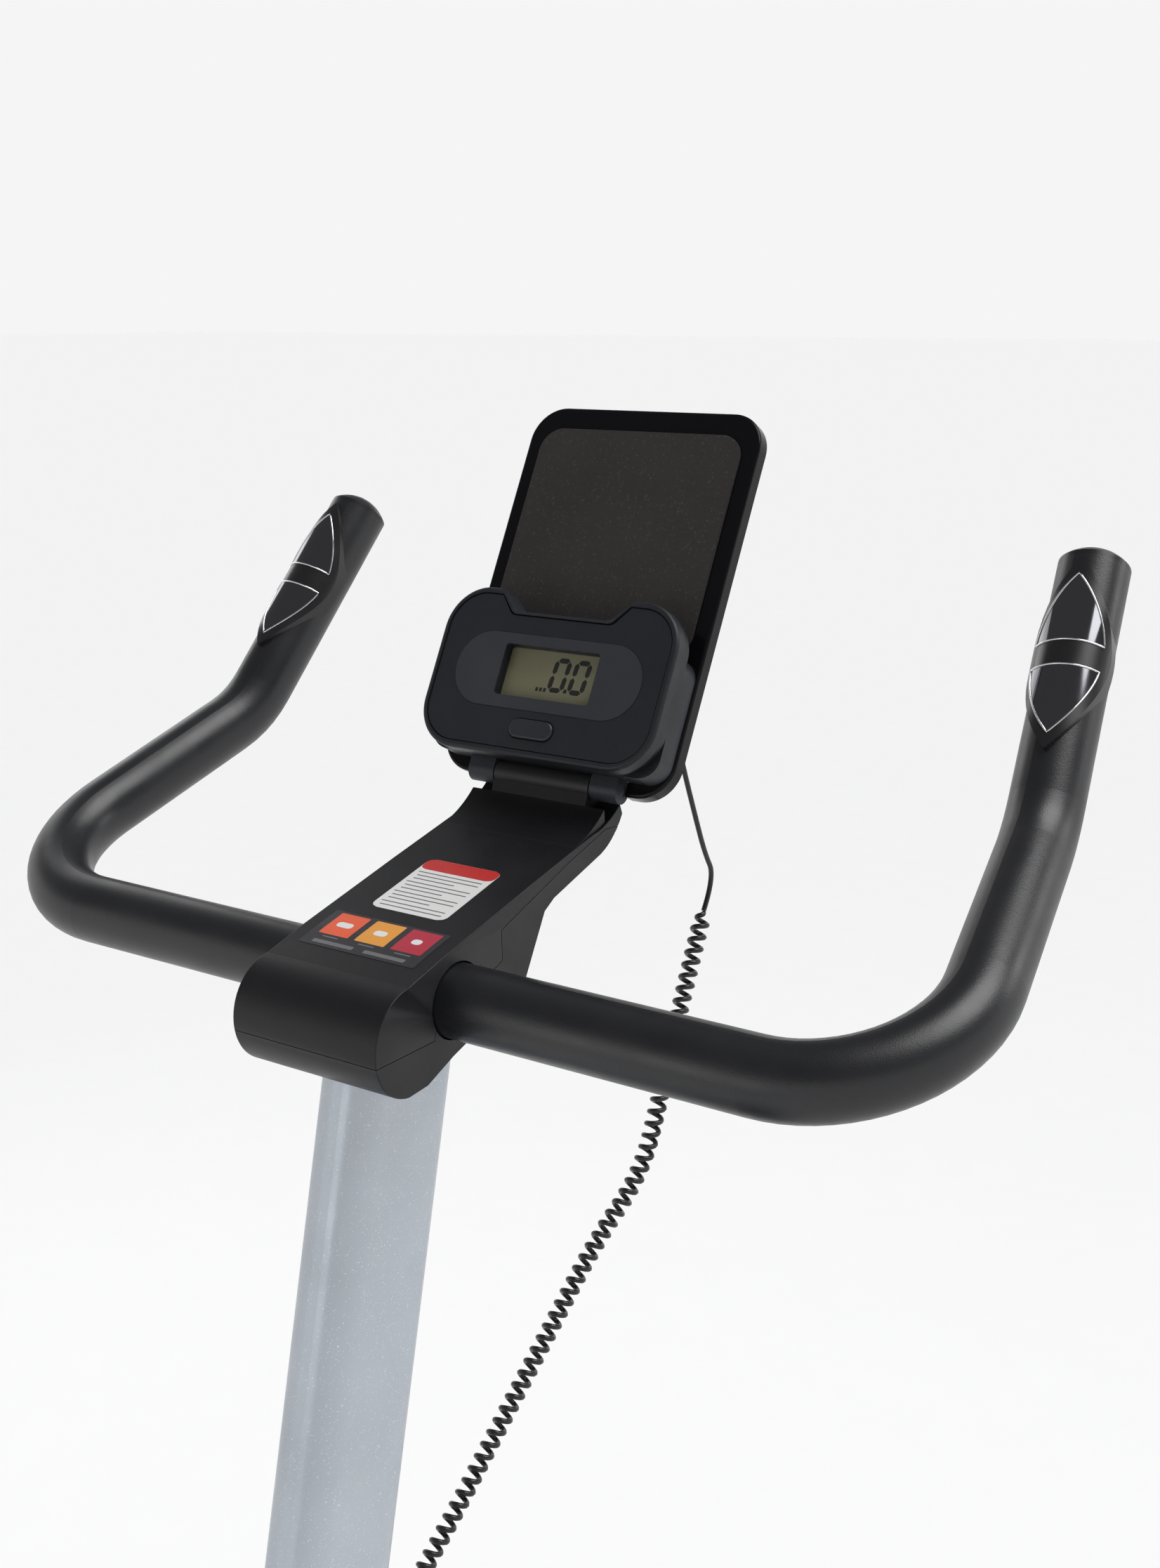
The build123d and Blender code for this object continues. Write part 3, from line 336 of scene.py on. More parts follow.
def onConsole(x, s, d):
    # x across, s up the display, d out towards the rider, all in millimetres
    t = radians(consoleFrame["tilt"])
    ox, oy, oz = consoleFrame["origin"]
    forward, up = s * sin(t) - d * cos(t), s * cos(t) + d * sin(t)
    return Vector((ox + x / 1000, oy + forward / 1000, oz + up / 1000))


def prism(place, outline, low, high):
    # a closed flat-sided solid from an outline and two depths
    n = len(outline)
    verts = [place(x, y, low) for x, y in outline] + [place(x, y, high) for x, y in outline]
    faces = [tuple(reversed(range(n))), tuple(range(n, 2 * n))]
    faces += [(i, (i + 1) % n, n + (i + 1) % n, n + i) for i in range(n)]
    return verts, faces


def joined(name, solids, materials, indexes=None):
    verts, faces, marks = [], [], []
    for k, (v, f) in enumerate(solids):
        base = len(verts)
        verts += v
        faces += [tuple(i + base for i in face) for face in f]
        marks += [indexes[k] if indexes else 0] * len(f)
    piece = pieceFrom(name, verts, faces, materials, marks)
    outward(piece)
    return piece


# ---------- display figures ----------
display = {"digitHeight": 17.2, "digitWidth": 8.2, "stroke": 2.9, "gap": 0.12, "slant": 0.09,
           "depth": 21.62, "raise": 0.05, "baseline": 44.0, "point": (1.1, 1.0, 1.2), "marksAt": -9.5,
           "markGap": 2.6, "markSize": (1.7, 2.2), "markDrop": 1.6, "digitsAt": (-1.0, 12.3), "pointAt": 10.0}


def segmentBars(x0, s0, w, h, t, lit):
    # the lit bars of one figure, each a pointed six-sided outline
    g = t * display["gap"]
    places = {"a": ("h", h), "g": ("h", h / 2), "d": ("h", 0), "f": ("v", 0, 1), "b": ("v", w, 1),
              "e": ("v", 0, 0), "c": ("v", w, 0)}
    bars = []
    for key in lit:
        place = places[key]
        if place[0] == "h":
            x, y = x0, s0 + place[1]
            near, far = x + g, x + w - g
            bars.append([(near, y), (near + t / 2, y + t / 2), (far - t / 2, y + t / 2), (far, y),
                         (far - t / 2, y - t / 2), (near + t / 2, y - t / 2)])
        else:
            x, y = x0 + place[1], s0 + place[2] * h / 2
            near, far = y + g, y + h / 2 - g
            bars.append([(x, near), (x + t / 2, near + t / 2), (x + t / 2, far - t / 2), (x, far),
                         (x - t / 2, far - t / 2), (x - t / 2, near + t / 2)])
    return bars


def buildDigits():
    d = display
    bars = []
    for x in d["digitsAt"]:
        bars += segmentBars(x, d["baseline"], d["digitWidth"], d["digitHeight"], d["stroke"], "abcdef")
    x, s = d["pointAt"], d["baseline"]
    side, under, over = d["point"]
    bars.append([(x - side, s - under), (x + side, s - under), (x + side, s + over), (x - side, s + over)])
    w, h = d["markSize"]
    for k in range(3):  # small marks at the foot of the display
        x, s = d["marksAt"] + k * d["markGap"], d["baseline"] - d["markDrop"]
        bars.append([(x, s), (x + w, s), (x + w, s + h), (x, s + h)])
    lean = [[(x + (s - d["baseline"]) * d["slant"], s) for x, s in bar] for bar in bars]
    solids = [prism(onConsole, bar, d["depth"], d["depth"] + d["raise"]) for bar in lean]
    piece = joined("displayDigits", solids, [segmentInk])
    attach(piece, "console")


buildDigits()

# ---------- labels on the cover ----------
coverTop = [(-36.9, 18.0), (-8.9, 25.8), (62.4, 43.0), (126.9, 58.0)]
barCentre = (190.0, 1080.0)


def onCover(x, along, lift):
    # along is the distance forward of the bar's middle, over the cover's top line
    for (y0, z0), (y1, z1) in zip(coverTop, coverTop[1:]):
        if along <= y1:
            break
    z = z0 + (z1 - z0) * (along - y0) / (y1 - y0)
    slope = atan2(z1 - z0, y1 - y0)
    y, z = barCentre[0] + along - sin(slope) * lift, barCentre[1] + z + cos(slope) * lift
    return Vector((x / 1000, y / 1000, z / 1000))


def drapedPatch(x0, x1, y0, y1, low, high, corner=1.5, rows=6):
    # a rounded thin sheet that follows the cover's top line
    def inset(y):
        edge = min(y - y0, y1 - y)
        return corner - sqrt(max(0.0, corner ** 2 - (corner - edge) ** 2)) if edge < corner else 0.0
    ys = sorted({y0 + corner * k / 4 for k in range(5)} | {y1 - corner * k / 4 for k in range(5)}
                | {y0 + (y1 - y0) * k / rows for k in range(rows + 1)}
                | {y for y, z in coverTop if y0 < y < y1})
    verts, faces = [], []
    for lift in (low, high):
        for y in ys:
            verts += [onCover(x0 + inset(y), y, lift), onCover(x1 - inset(y), y, lift)]
    n = len(ys)
    for k in range(n - 1):
        a = 2 * k
        faces += [(a, a + 2, a + 3, a + 1), (2 * n + a, 2 * n + a + 1, 2 * n + a + 3, 2 * n + a + 2),
                  (a, 2 * n + a, 2 * n + a + 2, a + 2), (a + 1, a + 3, 2 * n + a + 3, 2 * n + a + 1)]
    faces += [(0, 1, 2 * n + 1, 2 * n), (2 * n - 2, 4 * n - 2, 4 * n - 1, 2 * n - 1)]
    return verts, faces


labels = {"strip": (-37.0, 37.0, -23.5, 7.0), "tile": 19.0, "tileAt": (-22.5, 0.8, 24.0),
          "sheet": (-24.0, 24.0, 16.8, 68.0), "header": 10.5, "thick": 0.16}


def buildLabels():
    x0, x1, y0, y1 = labels["strip"]
    t, size = labels["thick"], labels["tile"]
    middle = y1 - 1.6 - size / 2
    solids, marks = [drapedPatch(x0, x1, y0, y1, 0.02, t, 0.8)], [0]
    for k, x in enumerate(labels["tileAt"]):
        half = size / 2
        solids.append(drapedPatch(x - half, x + half, middle - half, middle + half, t, t + 0.05, 0.6))
        marks.append(k + 1)
        under = middle - half - 2.4
        solids.append(drapedPatch(x - 5, x + 5, under, under + 0.8, t, t + 0.03, 0.2, 1))
        marks.append(4)
        solids.append(drapedPatch(x - 5 + k, x + 5 - k, middle - 2.2, middle + 2.2, t + 0.05, t + 0.08, 2.0))
        marks.append(5)
    for x, w in ((-17, 26), (16, 26)):
        solids.append(drapedPatch(x - w / 2, x + w / 2, y0 + 2.2, y0 + 4.8, t, t + 0.03, 0.5, 1))
        marks.append(4)
    inks = [darkInkAndSlotShade, tileOrange, tileAmber, tileCrimson, labelInk, paperWhite]
    strip = joined("coloredStripLabel", solids, inks, marks)
    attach(strip, "post")
    x0, x1, y0, y1 = labels["sheet"]
    solids, marks = [drapedPatch(x0, x1, y0, y1, 0.02, t, 4.5)], [0]
    solids.append(drapedPatch(x0 + 0.1, x1 - 0.1, y1 - labels["header"], y1 - 0.1, t, t + 0.04, 4.2))
    marks.append(1)
    for k in range(11):  # ruled lines in place of words
        y = y1 - labels["header"] - 3.4 - 3.3 * k - (k // 3) * 0.4
        indent, stop = (4 if k % 3 else 2.5), (4 if k % 3 != 2 else 17)
        solids.append(drapedPatch(x0 + indent, x1 - stop, y, y + 0.8, t, t + 0.03, 0.2, 1))
        marks.append(2)
    sheet = joined("ruledLabel", solids, [paperWhite, labelRed, labelInk], marks)
    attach(sheet, "post")


buildLabels()

# ---------- the cover's upper end sweeps up to the hinge ----------
sweep = {"start": 104.0, "end": (132.5, 67.5), "half": 44.4, "edge": 1.6, "heel": (133.5, 58.0),
         "toe": (122.0, 54.5), "sides": 14}


def buildSweep():
    # an arc tangent to the cover's top line, from its start to its end
    (y1, z1), (y2, z2) = coverTop[-2:]
    slope = atan2(z2 - z1, y2 - y1)
    startY, startZ = sweep["start"], z1 + (sweep["start"] - y1) * (z2 - z1) / (y2 - y1)
    endY, endZ = sweep["end"]
    chord = Vector((endY - startY, endZ - startZ))
    half = atan2(chord.y, chord.x) - slope
    radius = chord.length / (2 * sin(half))
    line = []
    for k in range(sweep["sides"] + 1):
        a = slope + 2 * half * k / sweep["sides"]
        line.append((startY + radius * (sin(a) - sin(slope)), startZ + radius * (cos(slope) - cos(a))))
    outline = line + [sweep["heel"], sweep["toe"]]

    def place(y, z, x):
        return Vector((x / 1000, (barCentre[0] + y) / 1000, (barCentre[1] + z) / 1000))
    piece = joined("coverSweep", [prism(place, outline, -sweep["half"], sweep["half"])], [coverPlastic])
    rounded = piece.modifiers.new("edges", "BEVEL")
    rounded.width = sweep["edge"] / 1000
    rounded.segments = 3
    rounded.limit_method = "ANGLE"
    rounded.angle_limit = radians(50)
    plainMesh(piece)
    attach(piece, "post")


buildSweep()
print("digits and labels built")

# ---------- bright rims round the pulse plates ----------
grips = {"shoulder": (0.2683, 0.3759, 1.1557), "tip": (0.2539, 0.4720, 1.2750), "middle": 0.0935,
         "out": (0, -0.786, 0.618), "halfLength": 0.0465, "halfWidth": 0.0179,
         "band": 0.0072, "radius": 0.02195, "bead": 0.00055}


def buildRims():
    g = grips
    for side, mirror in (("right", 1), ("left", -1)):
        shoulder, tip = Vector(g["shoulder"]), Vector(g["tip"])
        along = (tip - shoulder).normalized()
        middle = shoulder + along * g["middle"]
        out = Vector(g["out"])
        out = (out - along * out.dot(along)).normalized()
        across = along.cross(out)
        bulge = (g["halfLength"] ** 2 + g["halfWidth"] ** 2) / (2 * g["halfWidth"])

        def halfAt(y):  # half width of the pointed oval at a distance along the grip
            return sqrt(bulge ** 2 - y ** 2) - (bulge - g["halfWidth"])
        solids = []
        for end in (-1, 1):
            ys = [end * (g["band"] + (g["halfLength"] - g["band"]) * k / 22) for k in range(23)]
            outline = [(halfAt(y), y) for y in ys] + [(-halfAt(y), y) for y in reversed(ys[:-1])]
            outline += [(-halfAt(ys[0]) * (1 - k / 6), ys[0]) for k in range(1, 12)]
            loop = []
            for x, y in outline:
                p = middle + across * x + along * y + out * sqrt(g["radius"] ** 2 - x ** 2)
                loop.append(Vector((p.x * mirror, p.y, p.z)))
            n, sides, verts = len(loop), 6, []
            for k, p in enumerate(loop):
                run = (loop[(k + 1) % n] - loop[k - 1]).normalized()
                u = Vector((out.x * mirror, out.y, out.z))
                u = (u - run * u.dot(run)).normalized()
                v = run.cross(u)
                verts += [p + spoke(u, v, j / sides) * g["bead"] for j in range(sides)]
            solids.append((verts, ringFaces(n, sides, True)))
        piece = joined("pulseRims_" + side, solids, [chromePlate])
        piece.data.shade_smooth()
        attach(piece, "post")


buildRims()

# ---------- sensor cord ----------
cordSizes = {"wire": 0.003, "coilMean": 0.008, "pitch": 0.0072, "steps": 14,
             "lead": [(0.055, 0.371, 1.200), (0.058, 0.381, 1.163), (0.060, 0.392, 1.132),
                      (0.060, 0.404, 1.106), (0.060, 0.416, 1.089), (0.060, 0.404, 1.071)],
             "coil": [(0.060, 0.4036, 1.070), (0.060, 0.379, 1.020), (0.060, 0.357, 0.969),
                      (0.054, 0.348, 0.926), (0.043, 0.315, 0.892), (0.033, 0.284, 0.848),
                      (0.024, 0.246, 0.802), (0.014, 0.214, 0.757), (0.00599, 0.18506, 0.72245)]}


def routePoints(points, resolution=24):
    # the smooth line that the control points give, read back as points
    curve = bpy.data.curves.new("routeLine", "CURVE")
    curve.dimensions = "3D"
    curve.resolution_u = resolution
    spline = curve.splines.new("NURBS")
    spline.points.add(len(points) - 1)
    for point, at in zip(spline.points, points):
        point.co = (*at, 1)
    spline.order_u = 3
    spline.use_endpoint_u = True
    holder = bpy.data.objects.new("routeLine", curve)
    bpy.context.scene.collection.objects.link(holder)
    graph = bpy.context.evaluated_depsgraph_get()
    mesh = bpy.data.meshes.new_from_object(holder.evaluated_get(graph))
    found = [v.co.copy() for v in mesh.vertices]
    bpy.data.objects.remove(holder)
    return found


def evenly(points, step):
    out, left = [points[0].copy()], step
    for a, b in zip(points, points[1:]):
        run, done = (b - a).length, 0.0
        while run - done >= left:
            done += left
            out.append(a.lerp(b, done / run))
            left = step
        left -= run - done
    out.append(points[-1].copy())
    return out


def framesAlong(points):
    side = Vector((1, 0, 0))
    frames = []
    for k, p in enumerate(points):
        along = (points[min(k + 1, len(points) - 1)] - points[max(k - 1, 0)]).normalized()
        side = (side - along * side.dot(along)).normalized()
        frames.append((p, along, side, along.cross(side)))
    return frames


def tubeMesh(name, points, radius, material, sides=10):
    verts = []
    for p, along, u, v in framesAlong(points):
        verts += [p + spoke(u, v, k / sides) * radius for k in range(sides)]
    faces = ringFaces(len(points), sides, False)
    faces += [tuple(reversed(range(sides))), tuple(range((len(points) - 1) * sides, len(points) * sides))]
    piece = pieceFrom(name, verts, faces, [material], smooth=True)
    outward(piece)
    return piece


def buildCord():
    lead = evenly(routePoints(cordSizes["lead"]), 0.002)
    leadTube = tubeMesh("consoleLead", lead, cordSizes["wire"] / 2, cordRubber, 12)
    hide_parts("console_lead")
    leadLength = sum((b - a).length for a, b in zip(lead, lead[1:]))

    steps, pitch = cordSizes["steps"], cordSizes["pitch"]
    axis = evenly(routePoints(cordSizes["coil"]), pitch / steps)
    helix = []
    total = len(axis)
    for k, (p, along, u, v) in enumerate(framesAlong(axis)):
        ease = min(1.0, k / (steps * 0.8), (total - 1 - k) / (steps * 1.2))
        r = cordSizes["coilMean"] / 2 * sin(pi / 2 * ease)
        a = 2 * pi * k / steps
        helix.append(p + (u * cos(a) + v * sin(a)) * r)
    coilTube = tubeMesh("consoleCoil", helix, cordSizes["wire"] / 2, cordRubber, 9)
    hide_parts("console_coil")
    tuple(lead[0])
    [tuple(p) for p in lead]
    tuple(lead[3])
    tuple(lead[-4])
    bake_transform(leadTube)
    tuple(axis[-8])
    tuple(axis[8])
    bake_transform(coilTube)


buildCord()

# ---------- saddle ----------
saddle = {"voxel": 0.006, "pressure": 3.5, "frames": 16, "cap": 0.006, "piping": 0.0022,
          "squeeze": (0.965, 0.93), "stitchGap": 0.006, "stitchLength": 0.0032, "stitchWidth": 0.001}


def buildSaddle():
    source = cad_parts["saddle_pad"]
    bm = bmesh.new()
    bm.from_mesh(source.data)
    bmesh.ops.remove_doubles(bm, verts=bm.verts, dist=1e-5)
    mesh = bpy.data.meshes.new("saddleCushion")
    bm.to_mesh(mesh)
    bm.free()
    piece = bpy.data.objects.new("saddleCushion", mesh)
    bpy.context.scene.collection.objects.link(piece)
    remesh = piece.modifiers.new("remesh", "REMESH")
    remesh.mode = "VOXEL"
    remesh.voxel_size = saddle["voxel"]
    plainMesh(piece)
    low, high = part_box("saddle_pad")
    middle = (low + high) / 2
    inward, down = saddle["squeeze"]
    for v in piece.data.vertices:  # pull in a little, leave the flat base where it is
        v.co.x = middle.x + (v.co.x - middle.x) * inward
        v.co.y = middle.y + (v.co.y - middle.y) * inward
        rise = (v.co.z - low.z) / (high.z - low.z)
        v.co.z = low.z + (v.co.z - low.z) * down
        across = abs(v.co.x)
        rear = max(0.0, min(1.0, (middle.y - v.co.y) / 0.1))
        if rise > 0.6:  # hollow along the middle, lift at the tail
            v.co.z -= 0.006 * max(0.0, 1 - across / 0.02) * rise
            v.co.z += 0.002 * rear * min(1.0, across / 0.06)
            v.co.z -= 0.007 * max(0.0, min(1.0, (v.co.y - middle.y) / 0.12))
    rest = [v.co.copy() for v in piece.data.vertices]
    cloth = piece.modifiers.new("cloth", "CLOTH")
    cloth.settings.use_pressure = True
    cloth.settings.uniform_pressure_force = saddle["pressure"]
    cloth.settings.quality = 6
    cloth.settings.effector_weights.gravity = 0
    cloth.point_cache.frame_end = saddle["frames"]
    group = piece.vertex_groups.new(name="base")
    group.add([i for i, c in enumerate(rest) if c.z < low.z + 0.004], 1.0, "REPLACE")
    cloth.settings.vertex_group_mass = "base"
    for step in range(1, saddle["frames"] + 1):
        bpy.context.scene.frame_set(step)
    plainMesh(piece)
    bpy.context.scene.frame_set(1)
    for v, before in zip(piece.data.vertices, rest):
        move = v.co - before
        if move.length > saddle["cap"]:
            v.co = before + move * (saddle["cap"] / move.length)
        v.co.z = max(v.co.z, low.z + 0.0002)
    smooth = piece.modifiers.new("smooth", "SMOOTH")
    smooth.factor, smooth.iterations = 0.5, 4
    finer = piece.modifiers.new("finer", "SUBSURF")
    finer.levels = finer.render_levels = 1
    plainMesh(piece)
    for v in piece.data.vertices:
        v.co.z = max(v.co.z, low.z + 0.0001)
    piece.data.materials.clear()
    piece.data.materials.append(saddleVinyl)
    piece.data.shade_smooth()
    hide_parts("saddle_pad")
    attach(piece, "seat")
    return piece


def rimLoop(piece, height, count=120):
    # outline of the cushion at a height, by rays from the middle line
    low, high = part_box("saddle_pad")
    z = low.z + (high.z - low.z) * height
    middle = (low + high) / 2
    found = []
    for k in range(count):
        a = 2 * pi * k / count
        direction = Vector((cos(a), sin(a), 0))
        start = Vector((0, middle.y - 0.03, z))
        hit, at, normal, _ = piece.ray_cast(start + direction * 0.3, -direction)
        if hit:
            found.append((at, normal))
    return found


cushion = buildSaddle()
print("saddle built", len(cushion.data.polygons))


def repeatTree(name, material):
    # sets a small solid at every point of a path and turns it along the path
    tree = bpy.data.node_groups.new(name, "GeometryNodeTree")
    tree.interface.new_socket("Geometry", in_out="INPUT", socket_type="NodeSocketGeometry")
    for label, value in (("Gap", 0.006), ("Length", 0.003), ("Width", 0.0009)):
        socket = tree.interface.new_socket(label, in_out="INPUT", socket_type="NodeSocketFloat")
        socket.default_value = value
    tree.interface.new_socket("Geometry", in_out="OUTPUT", socket_type="NodeSocketGeometry")
    nodes, links = tree.nodes, tree.links
    into, out = nodes.new("NodeGroupInput"), nodes.new("NodeGroupOutput")
    toCurve = nodes.new("GeometryNodeMeshToCurve")
    resample = nodes.new("GeometryNodeResampleCurve")
    resample.mode = "LENGTH"
    toPoints = nodes.new("GeometryNodeCurveToPoints")
    toPoints.mode = "EVALUATED"
    grain = nodes.new("GeometryNodeMeshIcoSphere")
    grain.inputs["Subdivisions"].default_value = 1
    size = nodes.new("ShaderNodeCombineXYZ")
    setting = nodes.new("GeometryNodeInstanceOnPoints")
    real = nodes.new("GeometryNodeRealizeInstances")
    paint = nodes.new("GeometryNodeSetMaterial")
    paint.inputs["Material"].default_value = material
    grain.inputs["Radius"].default_value = 0.5
    links.new(into.outputs["Geometry"], toCurve.inputs["Mesh"])
    links.new(toCurve.outputs["Curve"], resample.inputs["Curve"])
    links.new(into.outputs["Gap"], resample.inputs["Length"])
    links.new(resample.outputs["Curve"], toPoints.inputs["Curve"])
    links.new(toPoints.outputs["Points"], setting.inputs["Points"])
    links.new(toPoints.outputs["Rotation"], setting.inputs["Rotation"])
    links.new(grain.outputs["Mesh"], setting.inputs["Instance"])
    links.new(into.outputs["Width"], size.inputs["X"])
    links.new(into.outputs["Width"], size.inputs["Y"])
    links.new(into.outputs["Length"], size.inputs["Z"])
    links.new(size.outputs["Vector"], setting.inputs["Scale"])
    links.new(setting.outputs["Instances"], real.inputs["Geometry"])
    links.new(real.outputs["Geometry"], paint.inputs["Geometry"])
    links.new(paint.outputs["Geometry"], out.inputs["Geometry"])
    return tree


def repeatAlong(name, loops, tree, gap, length, width, closed=True):
    verts, edges = [], []
    for loop in loops:
        base = len(verts)
        verts += [tuple(p) for p in loop]
        edges += [(base + k, base + k + 1) for k in range(len(loop) - 1)]
        if closed:
            edges.append((base + len(loop) - 1, base))
    mesh = bpy.data.meshes.new(name)
    mesh.from_pydata(verts, edges, [])
    piece = bpy.data.objects.new(name, mesh)
    bpy.context.scene.collection.objects.link(piece)
    nodes = piece.modifiers.new("repeat", "NODES")
    nodes.node_group = tree
    wanted = {"Gap": gap, "Length": length, "Width": width}
    for item in tree.interface.items_tree:
        if item.in_out == "INPUT" and item.name in wanted:
            nodes[item.identifier] = wanted[item.name]
    return plainMesh(piece)


stitchTree = repeatTree("stitchRow", threadGrey)
nubTree = repeatTree("nubRow", treadRubber)


def buildSaddleTrim():
    rim = rimLoop(cushion, 0.16)
    beadPoints = [at + normal * 0.0006 for at, normal in rim]
    sides, verts = 8, []
    n = len(beadPoints)
    for k, p in enumerate(beadPoints):
        along = (beadPoints[(k + 1) % n] - beadPoints[k - 1]).normalized()
        u = Vector((0, 0, 1))
        v = along.cross(u).normalized()
        verts += [p + spoke(u, v, j / sides) * saddle["piping"] for j in range(sides)]
    bead = pieceFrom("saddlePiping", verts, ringFaces(n, sides, True), [saddleVinyl], smooth=True)
    outward(bead)
    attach(bead, "seat")
    row = [at + normal * 0.0002 for at, normal in rimLoop(cushion, 0.34, 160)]
    stitches = repeatAlong("saddleStitches", [row], stitchTree, saddle["stitchGap"], saddle["stitchLength"],
                           saddle["stitchWidth"])
    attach(stitches, "seat")


buildSaddleTrim()

# ---------- pedals, feet and housing trim ----------
pedals = {"z": 0.32, "reflector": (0.05, 0.012, 0.0016), "corner": 0.002, "strapReach": 0.0682}


def buildPedalTrim():
    for side, body in (("right", "pedal_right"), ("left", "pedal_left")):
        low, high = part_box("pedal_" + side)
        w, h, t = pedals["reflector"]
        solids = []
        for face in (-1, 1):
            edge = low.y if face < 0 else high.y
            outline = []
            r = pedals["corner"]
            u, v = w / 2 - r, h / 2 - r
            for cx, cz, first in ((u, v, 0), (-u, v, 90), (-u, -v, 180), (u, -v, 270)):
                for k in range(4):
                    a = radians(first + k * 30)
                    outline.append((cx + r * cos(a), cz + r * sin(a)))

            def place(u, v, depth):
                return Vector(((low.x + high.x) / 2 + u, edge + face * depth, pedals["z"] - 0.001 + v))
            solids.append(prism(place, outline, -0.0004, t))
        reflector = joined("pedalReflectors_" + side, solids, [reflectorAmber])
        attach(reflector, body)
        strapLow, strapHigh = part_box("pedal_strap_" + side)
        halfW = (strapHigh.x - strapLow.x) / 2 - 0.0013
        middle = (strapLow.x + strapHigh.x) / 2
        rows = []
        for yy in (strapLow.y + 0.004, strapHigh.y - 0.004):
            row = []
            for a in range(12, 169, 4):
                across, up = (halfW + 0.0014) * cos(radians(a)), pedals["strapReach"] * sin(radians(a))
                row.append(Vector((middle + across, yy, pedals["z"] + 0.002 + up)))
            rows.append(row)
        studs = repeatAlong("strapStitches_" + side, rows, stitchTree, 0.005, 0.0028, 0.0009, closed=False)
        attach(studs, body)


housing = {"circles": ((0.23, 0.32, 0.135), (-0.11, 0.32, 0.088)), "half": 0.072, "headRadius": 0.0042,
           "headRise": 0.0011, "slotShade": (0.0005, 0.0024)}
feet = {"ends": ((0.48, 0.215), (-0.48, 0.235)), "rows": (-0.008, -0.002, 0.004, 0.010), "radius": 0.0302,
        "height": 0.029, "nub": (0.0045, 0.0032, 0.0012)}


def buildHousingTrim():
    # screw heads round the shell; the dark cross on each head is painted shade where the recessed slot would
    # be
    headRadius, rise = housing["headRadius"], housing["headRise"]
    screws = []
    for cy, cz, r in housing["circles"]:
        for k in range(5):
            a = radians(-90 + k * 45) if cy > 0 else radians(90 + k * 45)
            screws.append((cy + r * cos(a), cz + r * sin(a)))
    for side, outwards in (("right", 1), ("left", -1)):
        x = housing["half"] * outwards
        solids = []
        for y, z in screws:
            ring = [(headRadius * cos(radians(30 * k)), headRadius * sin(radians(30 * k))) for k in range(12)]

            def place(u, v, depth, y=y, z=z):
                return Vector((x + outwards * depth, y + u, z + v))
            solids.append(prism(place, ring, -0.0003, rise))
            # the raised dark cross is painted shade standing in for the recessed cross slot, which is not cut
            t, r = housing["slotShade"]
            cross = [(t, t), (t, r), (-t, r), (-t, t), (-r, t), (-r, -t),
                     (-t, -t), (-t, -r), (t, -r), (t, -t), (r, -t), (r, t)]
            solids.append(prism(place, cross, rise, rise + 0.0001))
        piece = joined("housingScrews_" + side, solids, [plainSteel, darkInkAndSlotShade],
                       [k % 2 for k in range(len(solids))])
        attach(piece, "frame")


def buildFootNubs():
    # rings of nubs on the four feet
    loops = []
    for cy, half in feet["ends"]:
        for sx in (-1, 1):
            for dx in feet["rows"]:
                loop = []
                for a in range(-50, 231, 8):
                    forward, up = feet["radius"] * cos(radians(a)), feet["radius"] * sin(radians(a))
                    loop.append(Vector((sx * (half + dx), cy + forward, feet["height"] + up)))
                loops.append(loop)
    nubs = repeatAlong("footNubs", loops, nubTree, *feet["nub"], closed=False)
    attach(nubs, "frame")


buildPedalTrim()
buildHousingTrim()
buildFootNubs()
print("trim built")


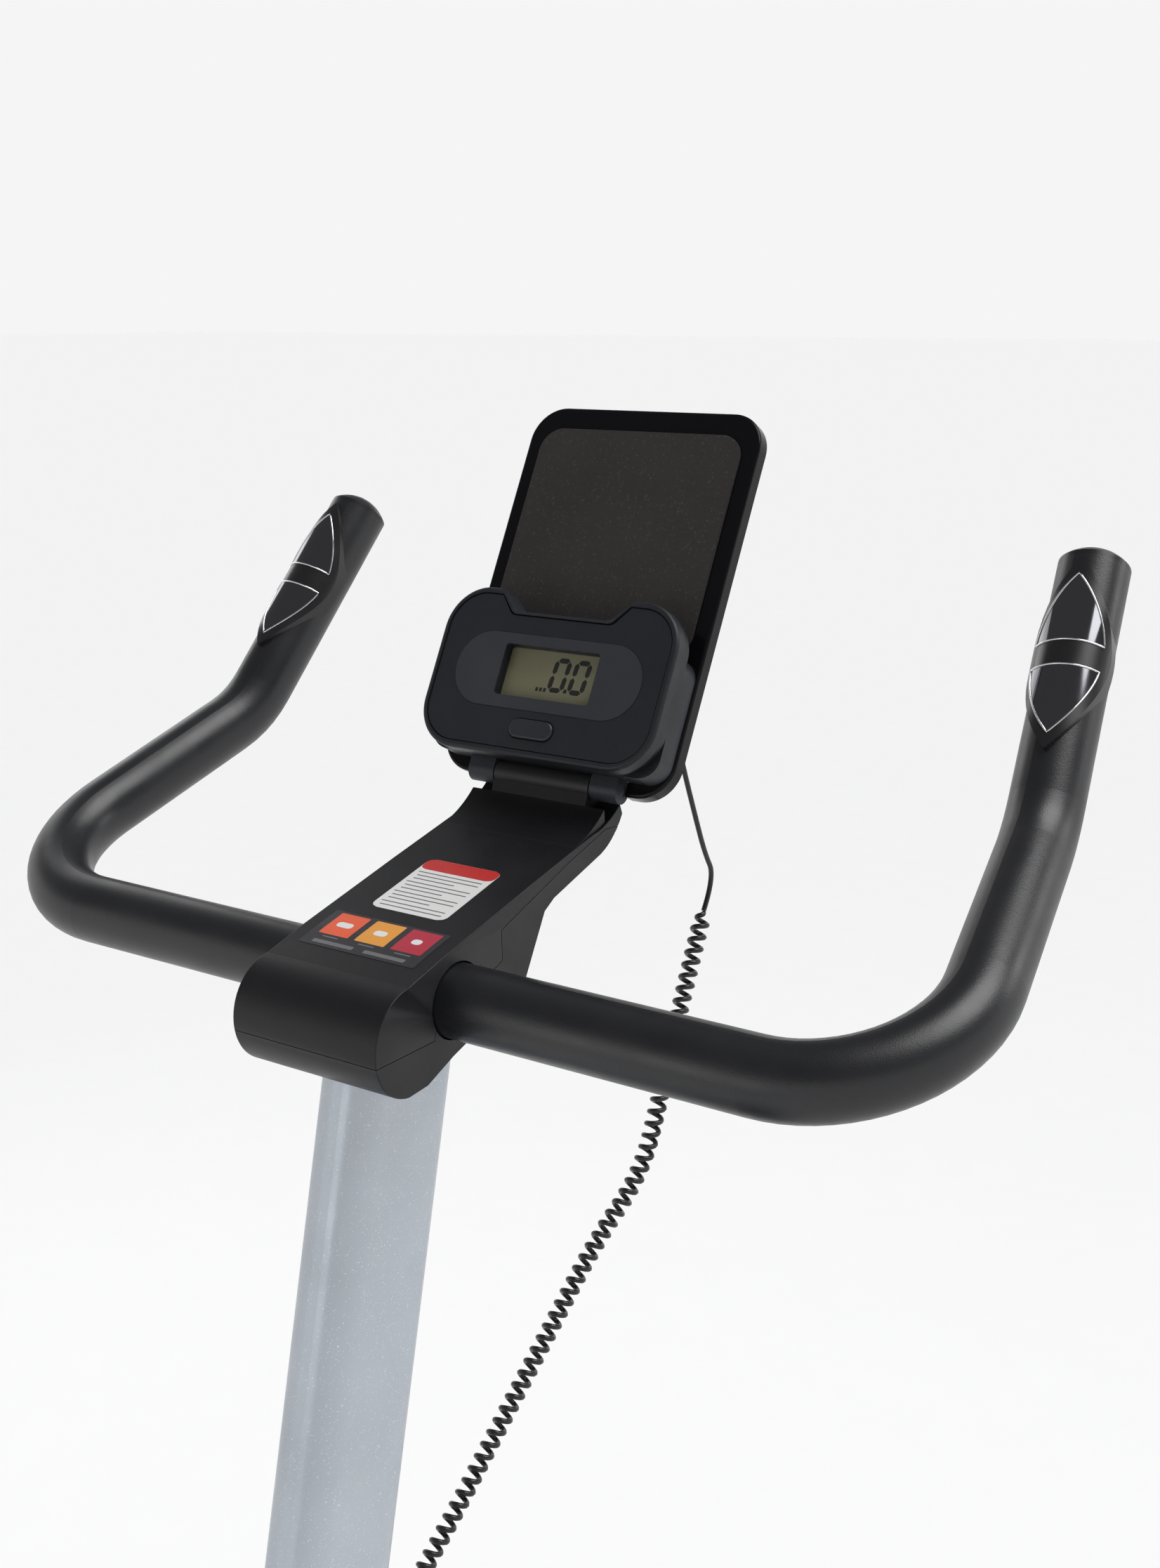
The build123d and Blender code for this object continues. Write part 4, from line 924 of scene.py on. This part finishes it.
# ---------- studio ----------
def buildStudio():
    floor = pieceFrom("studioFloor", [(-90, -90, 0), (90, -90, 0), (90, 90, 0), (-90, 90, 0)], [(0, 1, 2, 3)],
                      [finish("floorPaint", studio["floor"], 0.9, vary=0.004, grain=None, specular=0.0)])
    world = bpy.data.worlds.new("studioSky")
    world.use_nodes = True
    tree = world.node_tree
    background = tree.nodes["Background"]
    coords = tree.nodes.new("ShaderNodeTexCoord")
    split = tree.nodes.new("ShaderNodeSeparateXYZ")
    tree.links.new(coords.outputs["Generated"], split.inputs["Vector"])
    top, sky, overhead = studio["bandTop"], studio["sky"], studio["overhead"]
    band = ramp(tree, split.outputs["Z"],
                [(0.0, sky), (top, sky), (top + studio["bandFade"], overhead), (1.0, overhead)])
    tree.links.new(band, background.inputs["Color"])
    background.inputs["Strength"].default_value = studio["skyStrength"]
    bpy.context.scene.world = world
    sun = bpy.data.objects.new("softSun", bpy.data.lights.new("softSun", "SUN"))
    sun.data.energy = studio["sun"]
    sun.data.angle = radians(studio["sunAngle"])
    sun.rotation_euler = (-Vector(studio["sunFrom"])).to_track_quat("-Z", "Y").to_euler()
    bpy.context.scene.collection.objects.link(sun)
    lights = {"key": ((-1.9, 1.2, 1.9), 0.9, 4, (0.0, 0.25, 1.1)),
              "rim": ((1.5, 1.7, 1.9), 0.6, 4, (0.0, 0.25, 1.1)),
              "low": ((-0.7, -1.9, 0.9), 0.8, 3, (0.0, 0.1, 0.8))}
    for name, (at, size, power, aim) in lights.items():
        data = bpy.data.lights.new(name, "AREA")
        data.size = size
        data.energy = power
        lamp = bpy.data.objects.new(name, data)
        lamp.location = at
        lamp.rotation_euler = (Vector(aim) - Vector(at)).to_track_quat("-Z", "Y").to_euler()
        bpy.context.scene.collection.objects.link(lamp)
    camera = bpy.data.objects.new("camera", bpy.data.cameras.new("camera"))
    camera.data.lens = studio["lens"]
    camera.data.clip_start = 0.02
    camera.data.clip_end = 400
    turn, tip = radians(studio["turn"]), radians(studio["tip"])
    forward = Vector((-sin(turn) * cos(tip), cos(turn) * cos(tip), -sin(tip)))
    camera.location = studio["cameraAt"]
    camera.rotation_euler = forward.to_track_quat("-Z", "Y").to_euler()
    bpy.context.scene.collection.objects.link(camera)
    bpy.context.scene.camera = camera
    bpy.context.scene.view_settings.view_transform = "Standard"


buildStudio()
print("studio ready")
